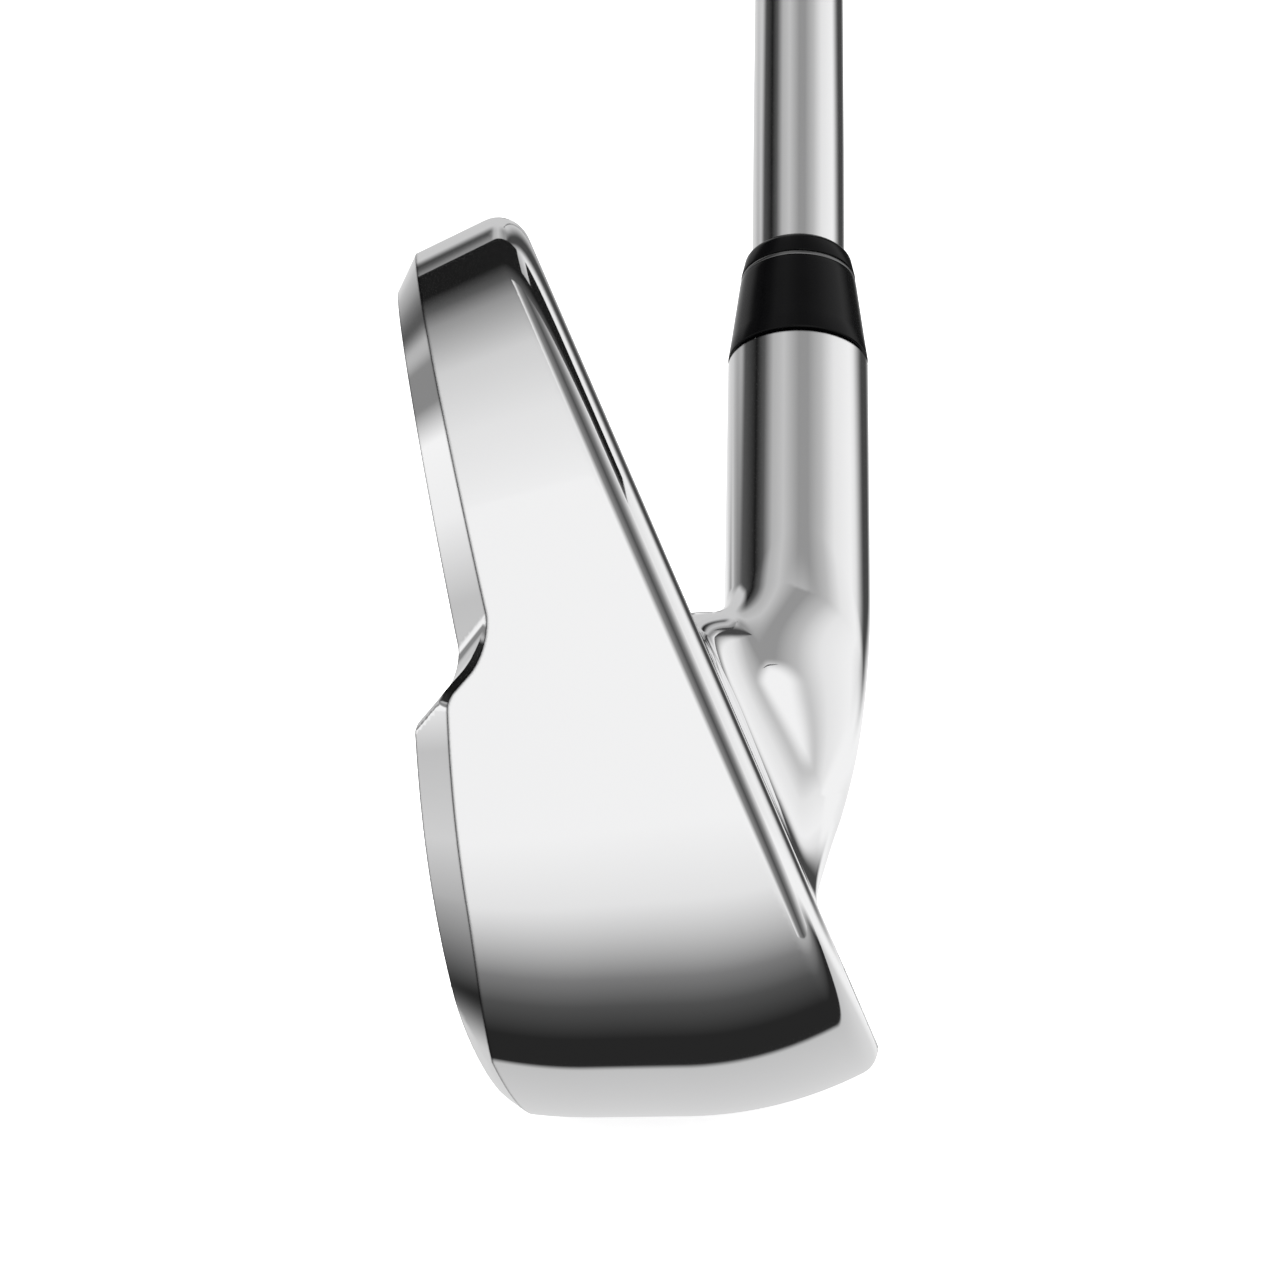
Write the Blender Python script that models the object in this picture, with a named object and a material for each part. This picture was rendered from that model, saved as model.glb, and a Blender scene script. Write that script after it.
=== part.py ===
"""Iron golf club, modelled as the separate pieces it is assembled from.

The club stands as it is addressed: sole on the ground at z = 0, face towards +X, toe towards -Y,
heel and grip towards +Y.  The origin is the middle of the flat spot under the sole.
All lengths are metres; MM turns a dimension in millimetres into metres.
"""
import math

import bmesh
import bpy
from mathutils import Matrix, Vector

MM = 0.001

# Overall attitude
LIE = math.radians(62.0)            # shaft axis above the ground, seen from the front
LEAN = math.radians(1.7)            # shaft leaning towards the target
LOFT = math.radians(23.4)           # face leaning back from vertical
CLUB_LENGTH = 952.5 * MM            # ground to butt, measured along the shaft
AXIS_FOOT = Vector((13.5, 36.0, 0.0)) * MM
AXIS = Vector((math.sin(LIE) * math.sin(LEAN), math.cos(LIE), math.sin(LIE) * math.cos(LEAN)))

# Head: face plane and outline
LEADING_X = 18.4 * MM               # where the face plane meets the ground
EDGE_ROUND = 1.9 * MM               # rounding between face and rim wall
LEADING_ROUND = 1.6 * MM            # rounding of the leading edge
WALL_FALL = 8.0                     # how fast the rim wall dips behind the face, per metre of height
RIM_CHAMFER = 2.0 * MM              # bevel between rim wall and back
TOP_CHAMFER = 1.3 * MM
SOLE_CAMBER_FRONT = 25.0 * MM       # front-to-back radius ahead of the flat spot
SOLE_CAMBER_REAR = 27.0 * MM        # and behind it
SOLE_FLAT = 3.0 * MM                # half width of the flat spot
SOLE_SKIM = 0.1 * MM                # ground off the bottom to make it flat
LEADING_TURN = -60.0                # degrees below level where the leading edge meets the sole
LEADING_FOOT = Vector((-1.2, 0.0, 3.8)) * MM   # from the face's foot to where the sole is read
LEADING_SET = 0.87                  # how high the rounding's centre stands, in rounding radii
TRAILING_HEIGHT = 3.2 * MM          # where the muscle turns under into the sole
TRAILING_LIMIT = 27.0 * MM
TRAILING_TUCK = 0.8 * MM            # small turn between muscle and sole
TOE_CAP_INSET = 0.6 * MM            # the first section is a small flat inside the toe outline
# Control points of the outline seen square to the face, (y, height at the face)
OUTLINE = [(60.0, 22.0), (40.0, 30.4), (20.0, 38.8), (0.0, 47.3), (-16.0, 54.6), (-29.0, 60.7),
           (-36.2, 57.2), (-39.2, 44.5), (-39.8, 32.0), (-38.5, 20.0), (-33.5, 8.4), (-24.0, 1.6),
           (-12.0, 0.0), (0.0, 0.0), (12.0, 0.0), (24.0, 0.7), (38.0, 2.2), (50.0, 4.0)]
# Rear edge of the rim wall, (height, x): upper blade, concave step, lower muscle
REAR_EDGE = [(62.0, -14.4), (49.6, -12.1), (34.4, -8.7), (32.9, -9.0), (31.4, -9.8),
             (29.9, -11.6), (24.3, -10.8), (14.3, -9.9), (5.2, -8.6), (3.0, -8.0), (0.0, -7.4)]
STEP_TOP = 34.4 * MM
STEP_FOOT = 29.9 * MM
STEP_HEIGHTS = [STEP_TOP, 32.9 * MM, 31.4 * MM, STEP_FOOT + 0.3 * MM]
# Towards the heel the step melts into one plain slope between these heights
PLAIN_REAR = [(62.0, -14.4), (0.0, -7.4)]
STEP_FADE_START = 6.0 * MM
STEP_FADE_END = 20.0 * MM

# Neck and hosel
HOSEL_RADIUS = 6.93 * MM
HOSEL_TOP = 64.0 * MM               # along the axis from the ground
HOSEL_BORE = 5.15 * MM
BORE_FLOOR = 31.0 * MM
NECK_PIVOT = Vector((0.0, 38.1, 44.0)) * MM    # centre of the crotch curve between topline and hosel
CROTCH_RADIUS = 11.8 * MM
NECK_START_Y = 27.0 * MM
NECK_RUN = 30.0 * MM                # length over which the blade turns into the round hosel
HEEL_SOLE = 2.0 * MM                # height of the sole where the neck starts to bend up
HEEL_DEPTH = 30.0 * MM              # least depth a blade section is drawn with before it is squeezed
BEND_RADIUS = 30.0 * MM             # length round the bend is counted at this radius
BEND_SOFTNESS = 8.0 * MM            # rounding of the heel under the neck
BEND_STEPS = 8
OVAL_START = math.radians(-62.0)    # where the first point of a section lies on the round hosel
HOSEL_RINGS = [46.0 * MM, 55.0 * MM, HOSEL_TOP]

# Face plate, cavity and inserts
PLATE_INSET = 2.4 * MM
PLATE_THICKNESS = 2.4 * MM
PLATE_HEEL_Y = 22.0 * MM
SCORE_PITCH = 3.5 * MM
SCORE_WIDTH = 0.9 * MM
SCORE_DEPTH = 0.4 * MM
SCORE_COUNT = 11
SCORE_FIRST = 10.5 * MM
SCORE_TOE_Y = -21.0 * MM
SCORE_HEEL_Y = 19.0 * MM
SCORE_CLEARANCE = 7.0 * MM          # the lines stop this far below the topline
CAVITY_INSET = 5.0 * MM
CAVITY_FLOOR = 5.2 * MM             # below the face, square to it
CAVITY_HEEL_Y = 17.0 * MM
CAVITY_SILL = 37.0 * MM
GAP = 0.3 * MM
# Blocks behind the plate, (y low, y high, lower height, upper height), and how deep they reach
WEIGHT_BLOCK = (-27.0 * MM, -12.0 * MM, 9.5 * MM, 20.0 * MM)
WEIGHT_DEPTH = 12.0 * MM
DAMPER_BLOCK = (-9.0 * MM, 16.0 * MM, 9.0 * MM, 24.0 * MM)
DAMPER_DEPTH = 9.5 * MM
TAPE_THICKNESS = 0.8 * MM
BADGE_THICKNESS = 1.2 * MM

# Shaft
PLUG_LENGTH = 20.0 * MM
TIP_START = BORE_FLOOR + 0.5 * MM
TIP_RADIUS = 4.5 * MM
PARALLEL_RADIUS = 4.7 * MM
PARALLEL_START = 90.0 * MM
STEP_FIRST = 215.0 * MM
STEP_PITCH = 33.0 * MM
STEP_COUNT = 15
STEP_GROWTH = 0.193 * MM
STEP_LENGTH = 1.5 * MM
SHAFT_WALL = 0.6 * MM
SHAFT_END = 946.0 * MM
BAND_STEP = 11                      # the band sits above this step
BAND_LENGTH = 25.0 * MM

# Ferrule
FERRULE_LENGTH = 12.2 * MM
FERRULE_TOP_RADIUS = 5.45 * MM
FERRULE_BORE = 4.82 * MM
RING_START = 9.1 * MM
RING_WIDTH = 0.6 * MM

# Grip
GRIP_MOUTH = 686.0 * MM
GRIP_CAP_START = 947.0 * MM
GRIP_MOUTH_RADIUS = 9.3 * MM
GRIP_BUTT_RADIUS = 13.2 * MM
GRIP_BORE = 8.2 * MM
VENT_RADIUS = 1.3 * MM

# Distances of the blade sections from the toe, closer together where the toe curves
BLADE_STATIONS = [0.0, 0.3, 0.8, 1.6, 2.8, 4.4, 6.4, 9.0, 12.5, 17.5, 24.5, 31.5, 41.0, 50.0,
                  56.0, 62.0, 67.0, 72.0]
ROUND = 24                          # sides of turned pieces


# ---------------------------------------------------------------- scene helpers

def clear_scene():
    for item in list(bpy.data.objects):
        bpy.data.objects.remove(item, do_unlink=True)


def make_material(name, colour, roughness, metallic):
    material = bpy.data.materials.new(name)
    material.use_nodes = True
    shader = material.node_tree.nodes["Principled BSDF"]
    shader.inputs["Base Color"].default_value = (*colour, 1.0)
    shader.inputs["Roughness"].default_value = roughness
    shader.inputs["Metallic"].default_value = metallic
    return material


def add_object(name, bm, material, smooth=True):
    """Turn a bmesh into an object with outward faces and its own material."""
    bmesh.ops.recalc_face_normals(bm, faces=bm.faces)
    mesh = bpy.data.meshes.new(name)
    bm.to_mesh(mesh)
    bm.free()
    if smooth:
        mesh.shade_smooth()
        mesh.set_sharp_from_angle(angle=math.radians(32.0))
    item = bpy.data.objects.new(name, mesh)
    bpy.context.collection.objects.link(item)
    if material is not None:
        item.data.materials.append(material)
    return item


def cut(target, cutter):
    """Cut the target with another object, which stays as a hidden guide."""
    cutter.hide_render = True
    cutter.display_type = "WIRE"
    modifier = target.modifiers.new(cutter.name, "BOOLEAN")
    modifier.operation = "DIFFERENCE"
    modifier.solver = "EXACT"
    modifier.object = cutter


def along_axis(distance):
    """Frame with its Z axis on the shaft axis, starting this far up from the ground."""
    turn = AXIS.to_track_quat("Z", "X").to_matrix().to_4x4()
    return Matrix.Translation(AXIS_FOOT + AXIS * distance) @ turn


def turned(name, profile, material, start):
    """Spin a closed (radius, height) profile about the shaft axis, from a distance up the axis."""
    bm = bmesh.new()
    points = [bm.verts.new((radius, 0.0, height)) for radius, height in profile]
    closed = all(radius > 0.0 for radius, _ in profile)
    pairs = list(zip(points, points[1:]))
    if closed:
        pairs.append((points[-1], points[0]))
    edges = [bm.edges.new(pair) for pair in pairs]
    bmesh.ops.spin(bm, geom=points + edges, cent=(0, 0, 0), axis=(0, 0, 1), angle=math.tau,
                   steps=ROUND, use_merge=True)
    bmesh.ops.remove_doubles(bm, verts=bm.verts, dist=0.00001)
    item = add_object(name, bm, material)
    item.matrix_world = along_axis(start)
    return item


def skin(bm, rings):
    """Join equal rings of points end to end into one closed body."""
    loops = [[bm.verts.new(point) for point in ring] for ring in rings]
    for first, second in zip(loops, loops[1:]):
        for index in range(len(first)):
            after = (index + 1) % len(first)
            bm.faces.new((first[index], first[after], second[after], second[index]))
    bm.faces.new(loops[0])
    bm.faces.new(list(reversed(loops[-1])))


# ---------------------------------------------------------------- head geometry

def smooth_curve(points, per_span=8):
    """Points along the uniform cubic B-spline of a control polygon."""
    result = []
    for p0, p1, p2, p3 in zip(points, points[1:], points[2:], points[3:]):
        for step in range(per_span):
            t = step / per_span
            w0 = (1 - t) ** 3 / 6
            w1 = (3 * t ** 3 - 6 * t ** 2 + 4) / 6
            w2 = (-3 * t ** 3 + 3 * t ** 2 + 3 * t + 1) / 6
            w3 = t ** 3 / 6
            result.append((w0 * p0[0] + w1 * p1[0] + w2 * p2[0] + w3 * p3[0],
                           w0 * p0[1] + w1 * p1[1] + w2 * p2[1] + w3 * p3[1]))
    return result


def interpolate(pairs, value):
    """Linear reading of (key, value) pairs sorted by key."""
    if value <= pairs[0][0]:
        return pairs[0][1]
    for (k0, v0), (k1, v1) in zip(pairs, pairs[1:]):
        if value <= k1:
            return v0 + (v1 - v0) * (value - k0) / (k1 - k0)
    return pairs[-1][1]


OUTLINE_CURVE = [(y * MM, height * MM) for y, height in smooth_curve(OUTLINE)]
TOE_INDEX = min(range(len(OUTLINE_CURVE)), key=lambda index: OUTLINE_CURVE[index][0])
TOP_CURVE = sorted(OUTLINE_CURVE[:TOE_INDEX + 1])
BOTTOM_CURVE = sorted(OUTLINE_CURVE[TOE_INDEX:])
REAR_CURVE = sorted((height * MM, x * MM) for height, x in REAR_EDGE)
PLAIN_CURVE = sorted((height * MM, x * MM) for height, x in PLAIN_REAR)


def face_x(height):
    return LEADING_X - height * math.tan(LOFT)


def wall_point(height, depth):
    """Point on the rim wall that leaves the face at a height and runs back by a depth."""
    return face_x(height) - depth, height - WALL_FALL * height * depth


def rear_x(height, fade):
    """Rear edge of the rim wall, from stepped (fade 0) to plain (fade 1)."""
    stepped = interpolate(REAR_CURVE, height)
    return stepped + (interpolate(PLAIN_CURVE, height) - stepped) * fade


def rear_corner(height, fade):
    """Where the rim wall leaving the face at a height meets the rear edge."""
    depth = 8.0 * MM
    for _ in range(12):
        _, z = wall_point(height, depth)
        depth = face_x(height) - rear_x(z, fade)
    return wall_point(height, depth)


def leading_centre(bottom):
    """Centre of the leading edge's rounding over a sole whose lowest line is at a height."""
    sole_x = face_x(bottom + LEADING_FOOT.z) + LEADING_FOOT.x
    height = bottom + sole_rise(sole_x) + LEADING_SET * LEADING_ROUND
    return face_x(height) - LEADING_ROUND / math.cos(LOFT), height


def sole_rise(x):
    """How far the sole has curved up from its flat spot at x."""
    if abs(x) < SOLE_FLAT:
        return 0.0
    radius = SOLE_CAMBER_FRONT if x > 0 else SOLE_CAMBER_REAR
    return (abs(x) - SOLE_FLAT) ** 2 / (2 * radius)


def arc(centre, radius, start, end, count):
    """Points on an arc in the X-Z plane, angles in degrees from +X towards +Z."""
    points = []
    for step in range(count):
        angle = math.radians(start + (end - start) * step / (count - 1))
        points.append((centre[0] + radius * math.cos(angle), centre[1] + radius * math.sin(angle)))
    return points


def blade_section(bottom, top, inset, fade=0.0):
    """Closed (x, z) loop of the blade between two heights, running from the leading edge up.

    The inset is how far the section lies inside the toe outline: it lets the rim bevel grow in.
    """
    bevel = min(max(inset, 0.0), RIM_CHAMFER)
    top_bevel = min(bevel, TOP_CHAMFER)
    lean = math.degrees(LOFT)
    # Leading edge
    loop = arc(leading_centre(bottom), LEADING_ROUND, LEADING_TURN, lean, 4)
    # Face
    high_centre_z = top - EDGE_ROUND
    high_centre = (face_x(high_centre_z) - EDGE_ROUND / math.cos(LOFT), high_centre_z)
    high_arc = arc(high_centre, EDGE_ROUND, lean, 90.0 + lean, 4)
    face_low = loop[-1]
    face_high = high_arc[0]
    for step in (0.25, 0.5, 0.75):
        loop.append((face_low[0] + (face_high[0] - face_low[0]) * step,
                     face_low[1] + (face_high[1] - face_low[1]) * step))
    loop += high_arc
    # Rim wall over the top, its rear corner and bevel
    corner = rear_corner(top, fade)
    wall_start = loop[-1]
    loop.append(((wall_start[0] + corner[0]) / 2, (wall_start[1] + corner[1]) / 2))
    loop.append(corner)
    back_top = corner[1] - top_bevel
    loop.append((rear_x(back_top, fade) - top_bevel, back_top))
    # Back: upper blade, concave step, muscle, each a bevel behind the rear edge
    muscle_low = min(bottom + TRAILING_HEIGHT, TRAILING_LIMIT)
    muscle_top = STEP_FOOT - 1.0 * MM
    stepped = [(STEP_TOP + back_top) / 2] + STEP_HEIGHTS + [muscle_top]
    for share in (0.35, 0.7, 1.0):
        stepped.append(muscle_top + (muscle_low - muscle_top) * share)
    depths = [1.0, 1.0, 1.0, 1.0, 0.3, 1.0, 1.0, 1.0, 0.8]
    for index, height in enumerate(stepped):
        even = back_top + (muscle_low - back_top) * (index + 1) / len(stepped)
        height += (even - height) * fade
        depth = depths[index] + (1.0 - depths[index]) * fade
        loop.append((rear_x(height, fade) - bevel * depth, height))
    # Trailing edge and sole
    trail_x = rear_x(muscle_low, fade) + TRAILING_TUCK
    loop.append((trail_x - TRAILING_TUCK, bottom + sole_rise(trail_x) + TRAILING_TUCK))
    lead_x = loop[0][0]
    for share in (0.0, 1 / 3, 2 / 3):
        x = trail_x + (-SOLE_FLAT - trail_x) * share
        loop.append((x, bottom + sole_rise(x)))
    for share in (None, 0.0, 0.25, 0.5, 0.75):
        x = -SOLE_FLAT if share is None else SOLE_FLAT + (lead_x - SOLE_FLAT) * share
        loop.append((x, bottom + sole_rise(x)))
    return loop


def circle_like(loop, centre, half_width, half_height):
    """Ellipse whose points are spaced round it as the loop's points are round the loop."""
    lengths = [0.0]
    for (x0, z0), (x1, z1) in zip(loop, loop[1:] + loop[:1]):
        lengths.append(lengths[-1] + math.hypot(x1 - x0, z1 - z0))
    points = []
    for length in lengths[:-1]:
        angle = OVAL_START + math.tau * length / lengths[-1]
        points.append((centre[0] + half_width * math.cos(angle), centre[1] + half_height * math.sin(angle)))
    return points


def ease(value):
    """Smooth step from 0 to 1."""
    value = min(max(value, 0.0), 1.0)
    return value * value * (3 - 2 * value)


def soft_minimum(first, second, softness):
    """The smaller of two lengths, with the change between them rounded off."""
    share = min(max(0.5 + 0.5 * (second - first) / softness, 0.0), 1.0)
    return second + (first - second) * share - softness * share * (1 - share)


def axis_x(z):
    """Where the shaft axis stands at a height."""
    return AXIS_FOOT.x + AXIS.x / AXIS.z * z


def head_sections():
    """Rings from the toe through the blade and round the neck to the hosel top."""
    rings = []
    toe_y = OUTLINE_CURVE[TOE_INDEX][0]
    for inset in BLADE_STATIONS:
        y = toe_y + TOE_CAP_INSET + inset * MM
        bottom = max(interpolate(BOTTOM_CURVE, y) - SOLE_SKIM, 0.0)
        top = interpolate(TOP_CURVE, y)
        fade = ease((y - STEP_FADE_START) / (STEP_FADE_END - STEP_FADE_START))
        loop = blade_section(bottom, top, y - toe_y, fade)
        weight = ease((y - NECK_START_Y) / NECK_RUN)
        middle = (axis_x((bottom + top) / 2), (bottom + top) / 2)
        oval = circle_like(loop, middle, HOSEL_RADIUS, (top - bottom) / 2)
        rings.append([(x + (ox - x) * weight, y, z + (oz - z) * weight)
                      for (x, z), (ox, oz) in zip(loop, oval)])
    # Sections fanned round the crotch, from level with the sole to square with the shaft axis
    sole_reach = NECK_PIVOT.z - HEEL_SOLE
    axis_reach = (AXIS_FOOT.y + NECK_PIVOT.z / math.tan(LIE) - NECK_PIVOT.y) * math.sin(LIE)
    for step in range(BEND_STEPS + 1):
        angle = LIE * step / BEND_STEPS
        outer = soft_minimum(sole_reach, (axis_reach + HOSEL_RADIUS) / math.cos(LIE - angle), BEND_SOFTNESS)
        height = outer - CROTCH_RADIUS
        drawn = max(height, HEEL_DEPTH)
        loop = blade_section(HEEL_SOLE, HEEL_SOLE + drawn, RIM_CHAMFER, 1.0)
        weight = ease((NECK_PIVOT.y - NECK_START_Y + BEND_RADIUS * angle) / NECK_RUN)
        centre_x = axis_x(NECK_PIVOT.z - (CROTCH_RADIUS + height / 2) * math.cos(angle))
        oval = circle_like(loop, (centre_x, HEEL_SOLE + height / 2), HOSEL_RADIUS, height / 2)
        ring = []
        for (x, z), (ox, oz) in zip(loop, oval):
            x += (ox - x) * weight
            z = HEEL_SOLE + (z - HEEL_SOLE) * height / drawn
            reach = outer + HEEL_SOLE - (z + (oz - z) * weight)
            ring.append((x, NECK_PIVOT.y + reach * math.sin(angle), NECK_PIVOT.z - reach * math.cos(angle)))
        rings.append(ring)
    last = [Vector(point) for point in rings[-1]]
    for distance in HOSEL_RINGS:
        ring = []
        for point in last:
            ring.append(tuple(point + AXIS * (distance - (point - AXIS_FOOT).dot(AXIS))))
        rings.append(ring)
    return rings


def face_point(y, height, depth):
    """Point at a height on the face, sunk square to the face by a depth."""
    return Vector((face_x(height) - depth * math.cos(LOFT), y, height - depth * math.sin(LOFT)))


def flat_outline():
    """Edge of the flat of the face: the outline, its lower half lifted over the leading edge."""
    toe_height = OUTLINE_CURVE[TOE_INDEX][1]
    points = OUTLINE_CURVE[:TOE_INDEX + 1]
    for y, height in OUTLINE_CURVE[TOE_INDEX + 1:]:
        flat_start = leading_centre(height)[1] + LEADING_ROUND * math.sin(LOFT)
        lift = ease((toe_height - height) / (12.0 * MM))
        points.append((y, height + (flat_start - height) * lift))
    return points


def inset_outline(distance, heel_y, sill=None):
    """The flat of the face moved inwards, closed by a line at the heel and, if given, at a sill."""
    points = []
    outline = flat_outline()
    for (y0, h0), (y1, h1) in zip(outline, outline[2:]):
        run = Vector((y1 - y0, h1 - h0)).normalized()
        middle = Vector(((y0 + y1) / 2, (h0 + h1) / 2)) + Vector((-run.y, run.x)) * distance
        if middle.x > heel_y:
            continue
        if sill is not None and middle.y < sill:
            continue
        if not points or (middle - points[-1]).length > 1.2 * MM:
            points.append(middle)
    if sill is not None:
        points.append(Vector((points[-1].x + 1.5 * MM, sill)))
        points.append(Vector((points[0].x - 1.5 * MM, sill)))
    return points


def prism(name, outline, front, back, material=None):
    """Straight block square to the face, from a front depth to a back depth."""
    bm = bmesh.new()
    near = [bm.verts.new(face_point(point[0], point[1], front)) for point in outline]
    face = bm.faces.new(near)
    pushed = bmesh.ops.extrude_face_region(bm, geom=[face])
    shift = face_point(0.0, 0.0, back) - face_point(0.0, 0.0, front)
    far = [item for item in pushed["geom"] if isinstance(item, bmesh.types.BMVert)]
    bmesh.ops.translate(bm, verts=far, vec=shift)
    return add_object(name, bm, material, smooth=False)


def rectangle(y_low, y_high, low, high):
    return [(y_low, low), (y_high, low), (y_high, high), (y_low, high)]


# ---------------------------------------------------------------- the pieces

def topline_y(height):
    """Heelward y where the topline comes down to a height."""
    return interpolate(sorted((h, y) for y, h in TOP_CURVE if y > -24.0 * MM), height)


def build_plate(steel):
    """Face plate set into the front of the body, with its score lines cut across."""
    plate = prism("face_plate", inset_outline(PLATE_INSET, PLATE_HEEL_Y), 0.0, PLATE_THICKNESS, steel)
    bm = bmesh.new()
    for index in range(SCORE_COUNT):
        height = (SCORE_FIRST + SCORE_PITCH * index) * math.cos(LOFT)
        half = SCORE_WIDTH / 2 * math.cos(LOFT)
        reach = min(SCORE_HEEL_Y, topline_y(height + SCORE_CLEARANCE))
        corners = [face_point(y, z, depth)
                   for depth in (-1.0 * MM, SCORE_DEPTH)
                   for y, z in rectangle(SCORE_TOE_Y, reach, height - half, height + half)]
        box = [bm.verts.new(corner) for corner in corners]
        for face in ((0, 1, 2, 3), (7, 6, 5, 4), (0, 4, 5, 1), (1, 5, 6, 2), (2, 6, 7, 3), (3, 7, 4, 0)):
            bm.faces.new([box[corner] for corner in face])
    cut(plate, add_object("score_cutter", bm, None, smooth=False))


def build_head(steel):
    """Cast body: blade rim, muscle, neck and hosel, cut for the shaft, the plate and the inserts."""
    bm = bmesh.new()
    skin(bm, head_sections())
    head = add_object("head_body", bm, steel)
    bore_profile = [(0.0, 0.0), (HOSEL_BORE, 0.0), (HOSEL_BORE, HOSEL_TOP), (0.0, HOSEL_TOP)]
    cut(head, turned("bore_cutter", bore_profile, None, BORE_FLOOR))
    pocket = inset_outline(PLATE_INSET - GAP / 2, PLATE_HEEL_Y + GAP / 2)
    cut(head, prism("plate_pocket", pocket, -4.0 * MM, PLATE_THICKNESS + GAP))
    cavity = inset_outline(CAVITY_INSET, CAVITY_HEEL_Y, CAVITY_SILL)
    cut(head, prism("cavity_cutter", cavity, CAVITY_FLOOR, 20.0 * MM))
    cut(head, prism("weight_pocket", rectangle(*WEIGHT_BLOCK), PLATE_THICKNESS, WEIGHT_DEPTH))
    cut(head, prism("damper_pocket", rectangle(*DAMPER_BLOCK), PLATE_THICKNESS, DAMPER_DEPTH))


def shrunk(block, amount):
    """A (y low, y high, low, high) block made smaller by the same amount on each side."""
    return rectangle(block[0] + amount, block[1] - amount, block[2] + amount, block[3] - amount)


def build_inserts(tungsten, rubber, badge_metal, foam):
    """What the plate and the cavity hide: toe weight, damper, and the badge on its foam tape."""
    front = PLATE_THICKNESS + 2 * GAP
    prism("toe_weight", shrunk(WEIGHT_BLOCK, GAP), front, WEIGHT_DEPTH - GAP, tungsten)
    prism("damping_insert", shrunk(DAMPER_BLOCK, GAP), front, DAMPER_DEPTH - GAP, rubber)
    tape = inset_outline(CAVITY_INSET + 1.6 * MM, CAVITY_HEEL_Y - 2.0 * MM, CAVITY_SILL + 2.5 * MM)
    tape_back = CAVITY_FLOOR + 0.2 * MM + TAPE_THICKNESS
    prism("badge_tape", tape, CAVITY_FLOOR + 0.2 * MM, tape_back, foam)
    badge = inset_outline(CAVITY_INSET + 1.2 * MM, CAVITY_HEEL_Y - 1.6 * MM, CAVITY_SILL + 2.1 * MM)
    prism("cavity_badge", badge, tape_back + 0.2 * MM, tape_back + 0.2 * MM + BADGE_THICKNESS, badge_metal)


def shaft_radius_steps():
    """Outer (radius, distance) corners of the stepped tube, from the tip up to the butt."""
    corners = [(TIP_RADIUS, TIP_START), (PARALLEL_RADIUS, PARALLEL_START)]
    radius = PARALLEL_RADIUS
    for index in range(STEP_COUNT):
        distance = STEP_FIRST + STEP_PITCH * index
        corners.append((radius, distance))
        radius += STEP_GROWTH
        corners.append((radius, distance + STEP_LENGTH))
    corners.append((radius, SHAFT_END))
    return corners


def build_shaft(steel, foam, epoxy):
    """Stepped steel tube, the plug in its tip and the glue line in the hosel."""
    outer = shaft_radius_steps()
    inner = [(radius - SHAFT_WALL, distance) for radius, distance in (outer[0], outer[1], outer[-1])]
    profile = [(radius, distance - TIP_START) for radius, distance in outer + inner[::-1]]
    turned("shaft", profile, steel, TIP_START)
    plug = TIP_RADIUS - SHAFT_WALL - 0.2 * MM
    turned("tip_plug", [(0.0, 0.0), (plug, 0.0), (plug, PLUG_LENGTH), (0.0, PLUG_LENGTH)], foam,
           TIP_START + 1.0 * MM)
    inside = TIP_RADIUS + 0.22 * MM
    outside = HOSEL_BORE - 0.15 * MM
    reach = HOSEL_TOP - TIP_START - 1.0 * MM
    glue = [(inside, 0.0), (outside, 0.0), (outside, reach), (inside, reach)]
    turned("hosel_epoxy", glue, epoxy, TIP_START)


def build_band(film):
    """Plain film band wrapped round the shaft below the grip, between two of its steps."""
    radius = PARALLEL_RADIUS + STEP_GROWTH * (BAND_STEP + 1)
    start = STEP_FIRST + STEP_PITCH * BAND_STEP + STEP_LENGTH + 3.0 * MM
    inside = radius + 0.15 * MM
    outside = inside + 0.15 * MM
    band = [(inside, 0.0), (outside, 0.0), (outside, BAND_LENGTH), (inside, BAND_LENGTH)]
    turned("shaft_band", band, film, start)


def build_ferrule(plastic, ring_metal):
    """Tapered collar over the shaft above the hosel, split by a thin trim ring near its top."""
    base = HOSEL_TOP + 0.2 * MM
    slope = (FERRULE_TOP_RADIUS - HOSEL_RADIUS) / FERRULE_LENGTH

    def taper(height):
        return HOSEL_RADIUS + slope * height

    seat = RING_START
    seat_end = RING_START + RING_WIDTH
    land = FERRULE_LENGTH - 0.9 * MM
    groove = 0.45 * MM
    collar = [(HOSEL_RADIUS, 0.0), (taper(seat), seat), (taper(seat) - groove, seat),
              (taper(seat_end) - groove, seat_end), (taper(seat_end), seat_end), (taper(land), land),
              (FERRULE_TOP_RADIUS - 0.35 * MM, FERRULE_LENGTH - 0.2 * MM),
              (FERRULE_BORE + 0.1 * MM, FERRULE_LENGTH), (FERRULE_BORE, FERRULE_LENGTH), (FERRULE_BORE, 0.0)]
    turned("ferrule", collar, plastic, base)
    gap = 0.1 * MM
    hoop = [(taper(seat), seat + gap), (taper(seat_end), seat_end - gap),
            (taper(seat_end) - groove + gap, seat_end - gap), (taper(seat) - groove + gap, seat + gap)]
    turned("ferrule_ring", hoop, ring_metal, base)


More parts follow.
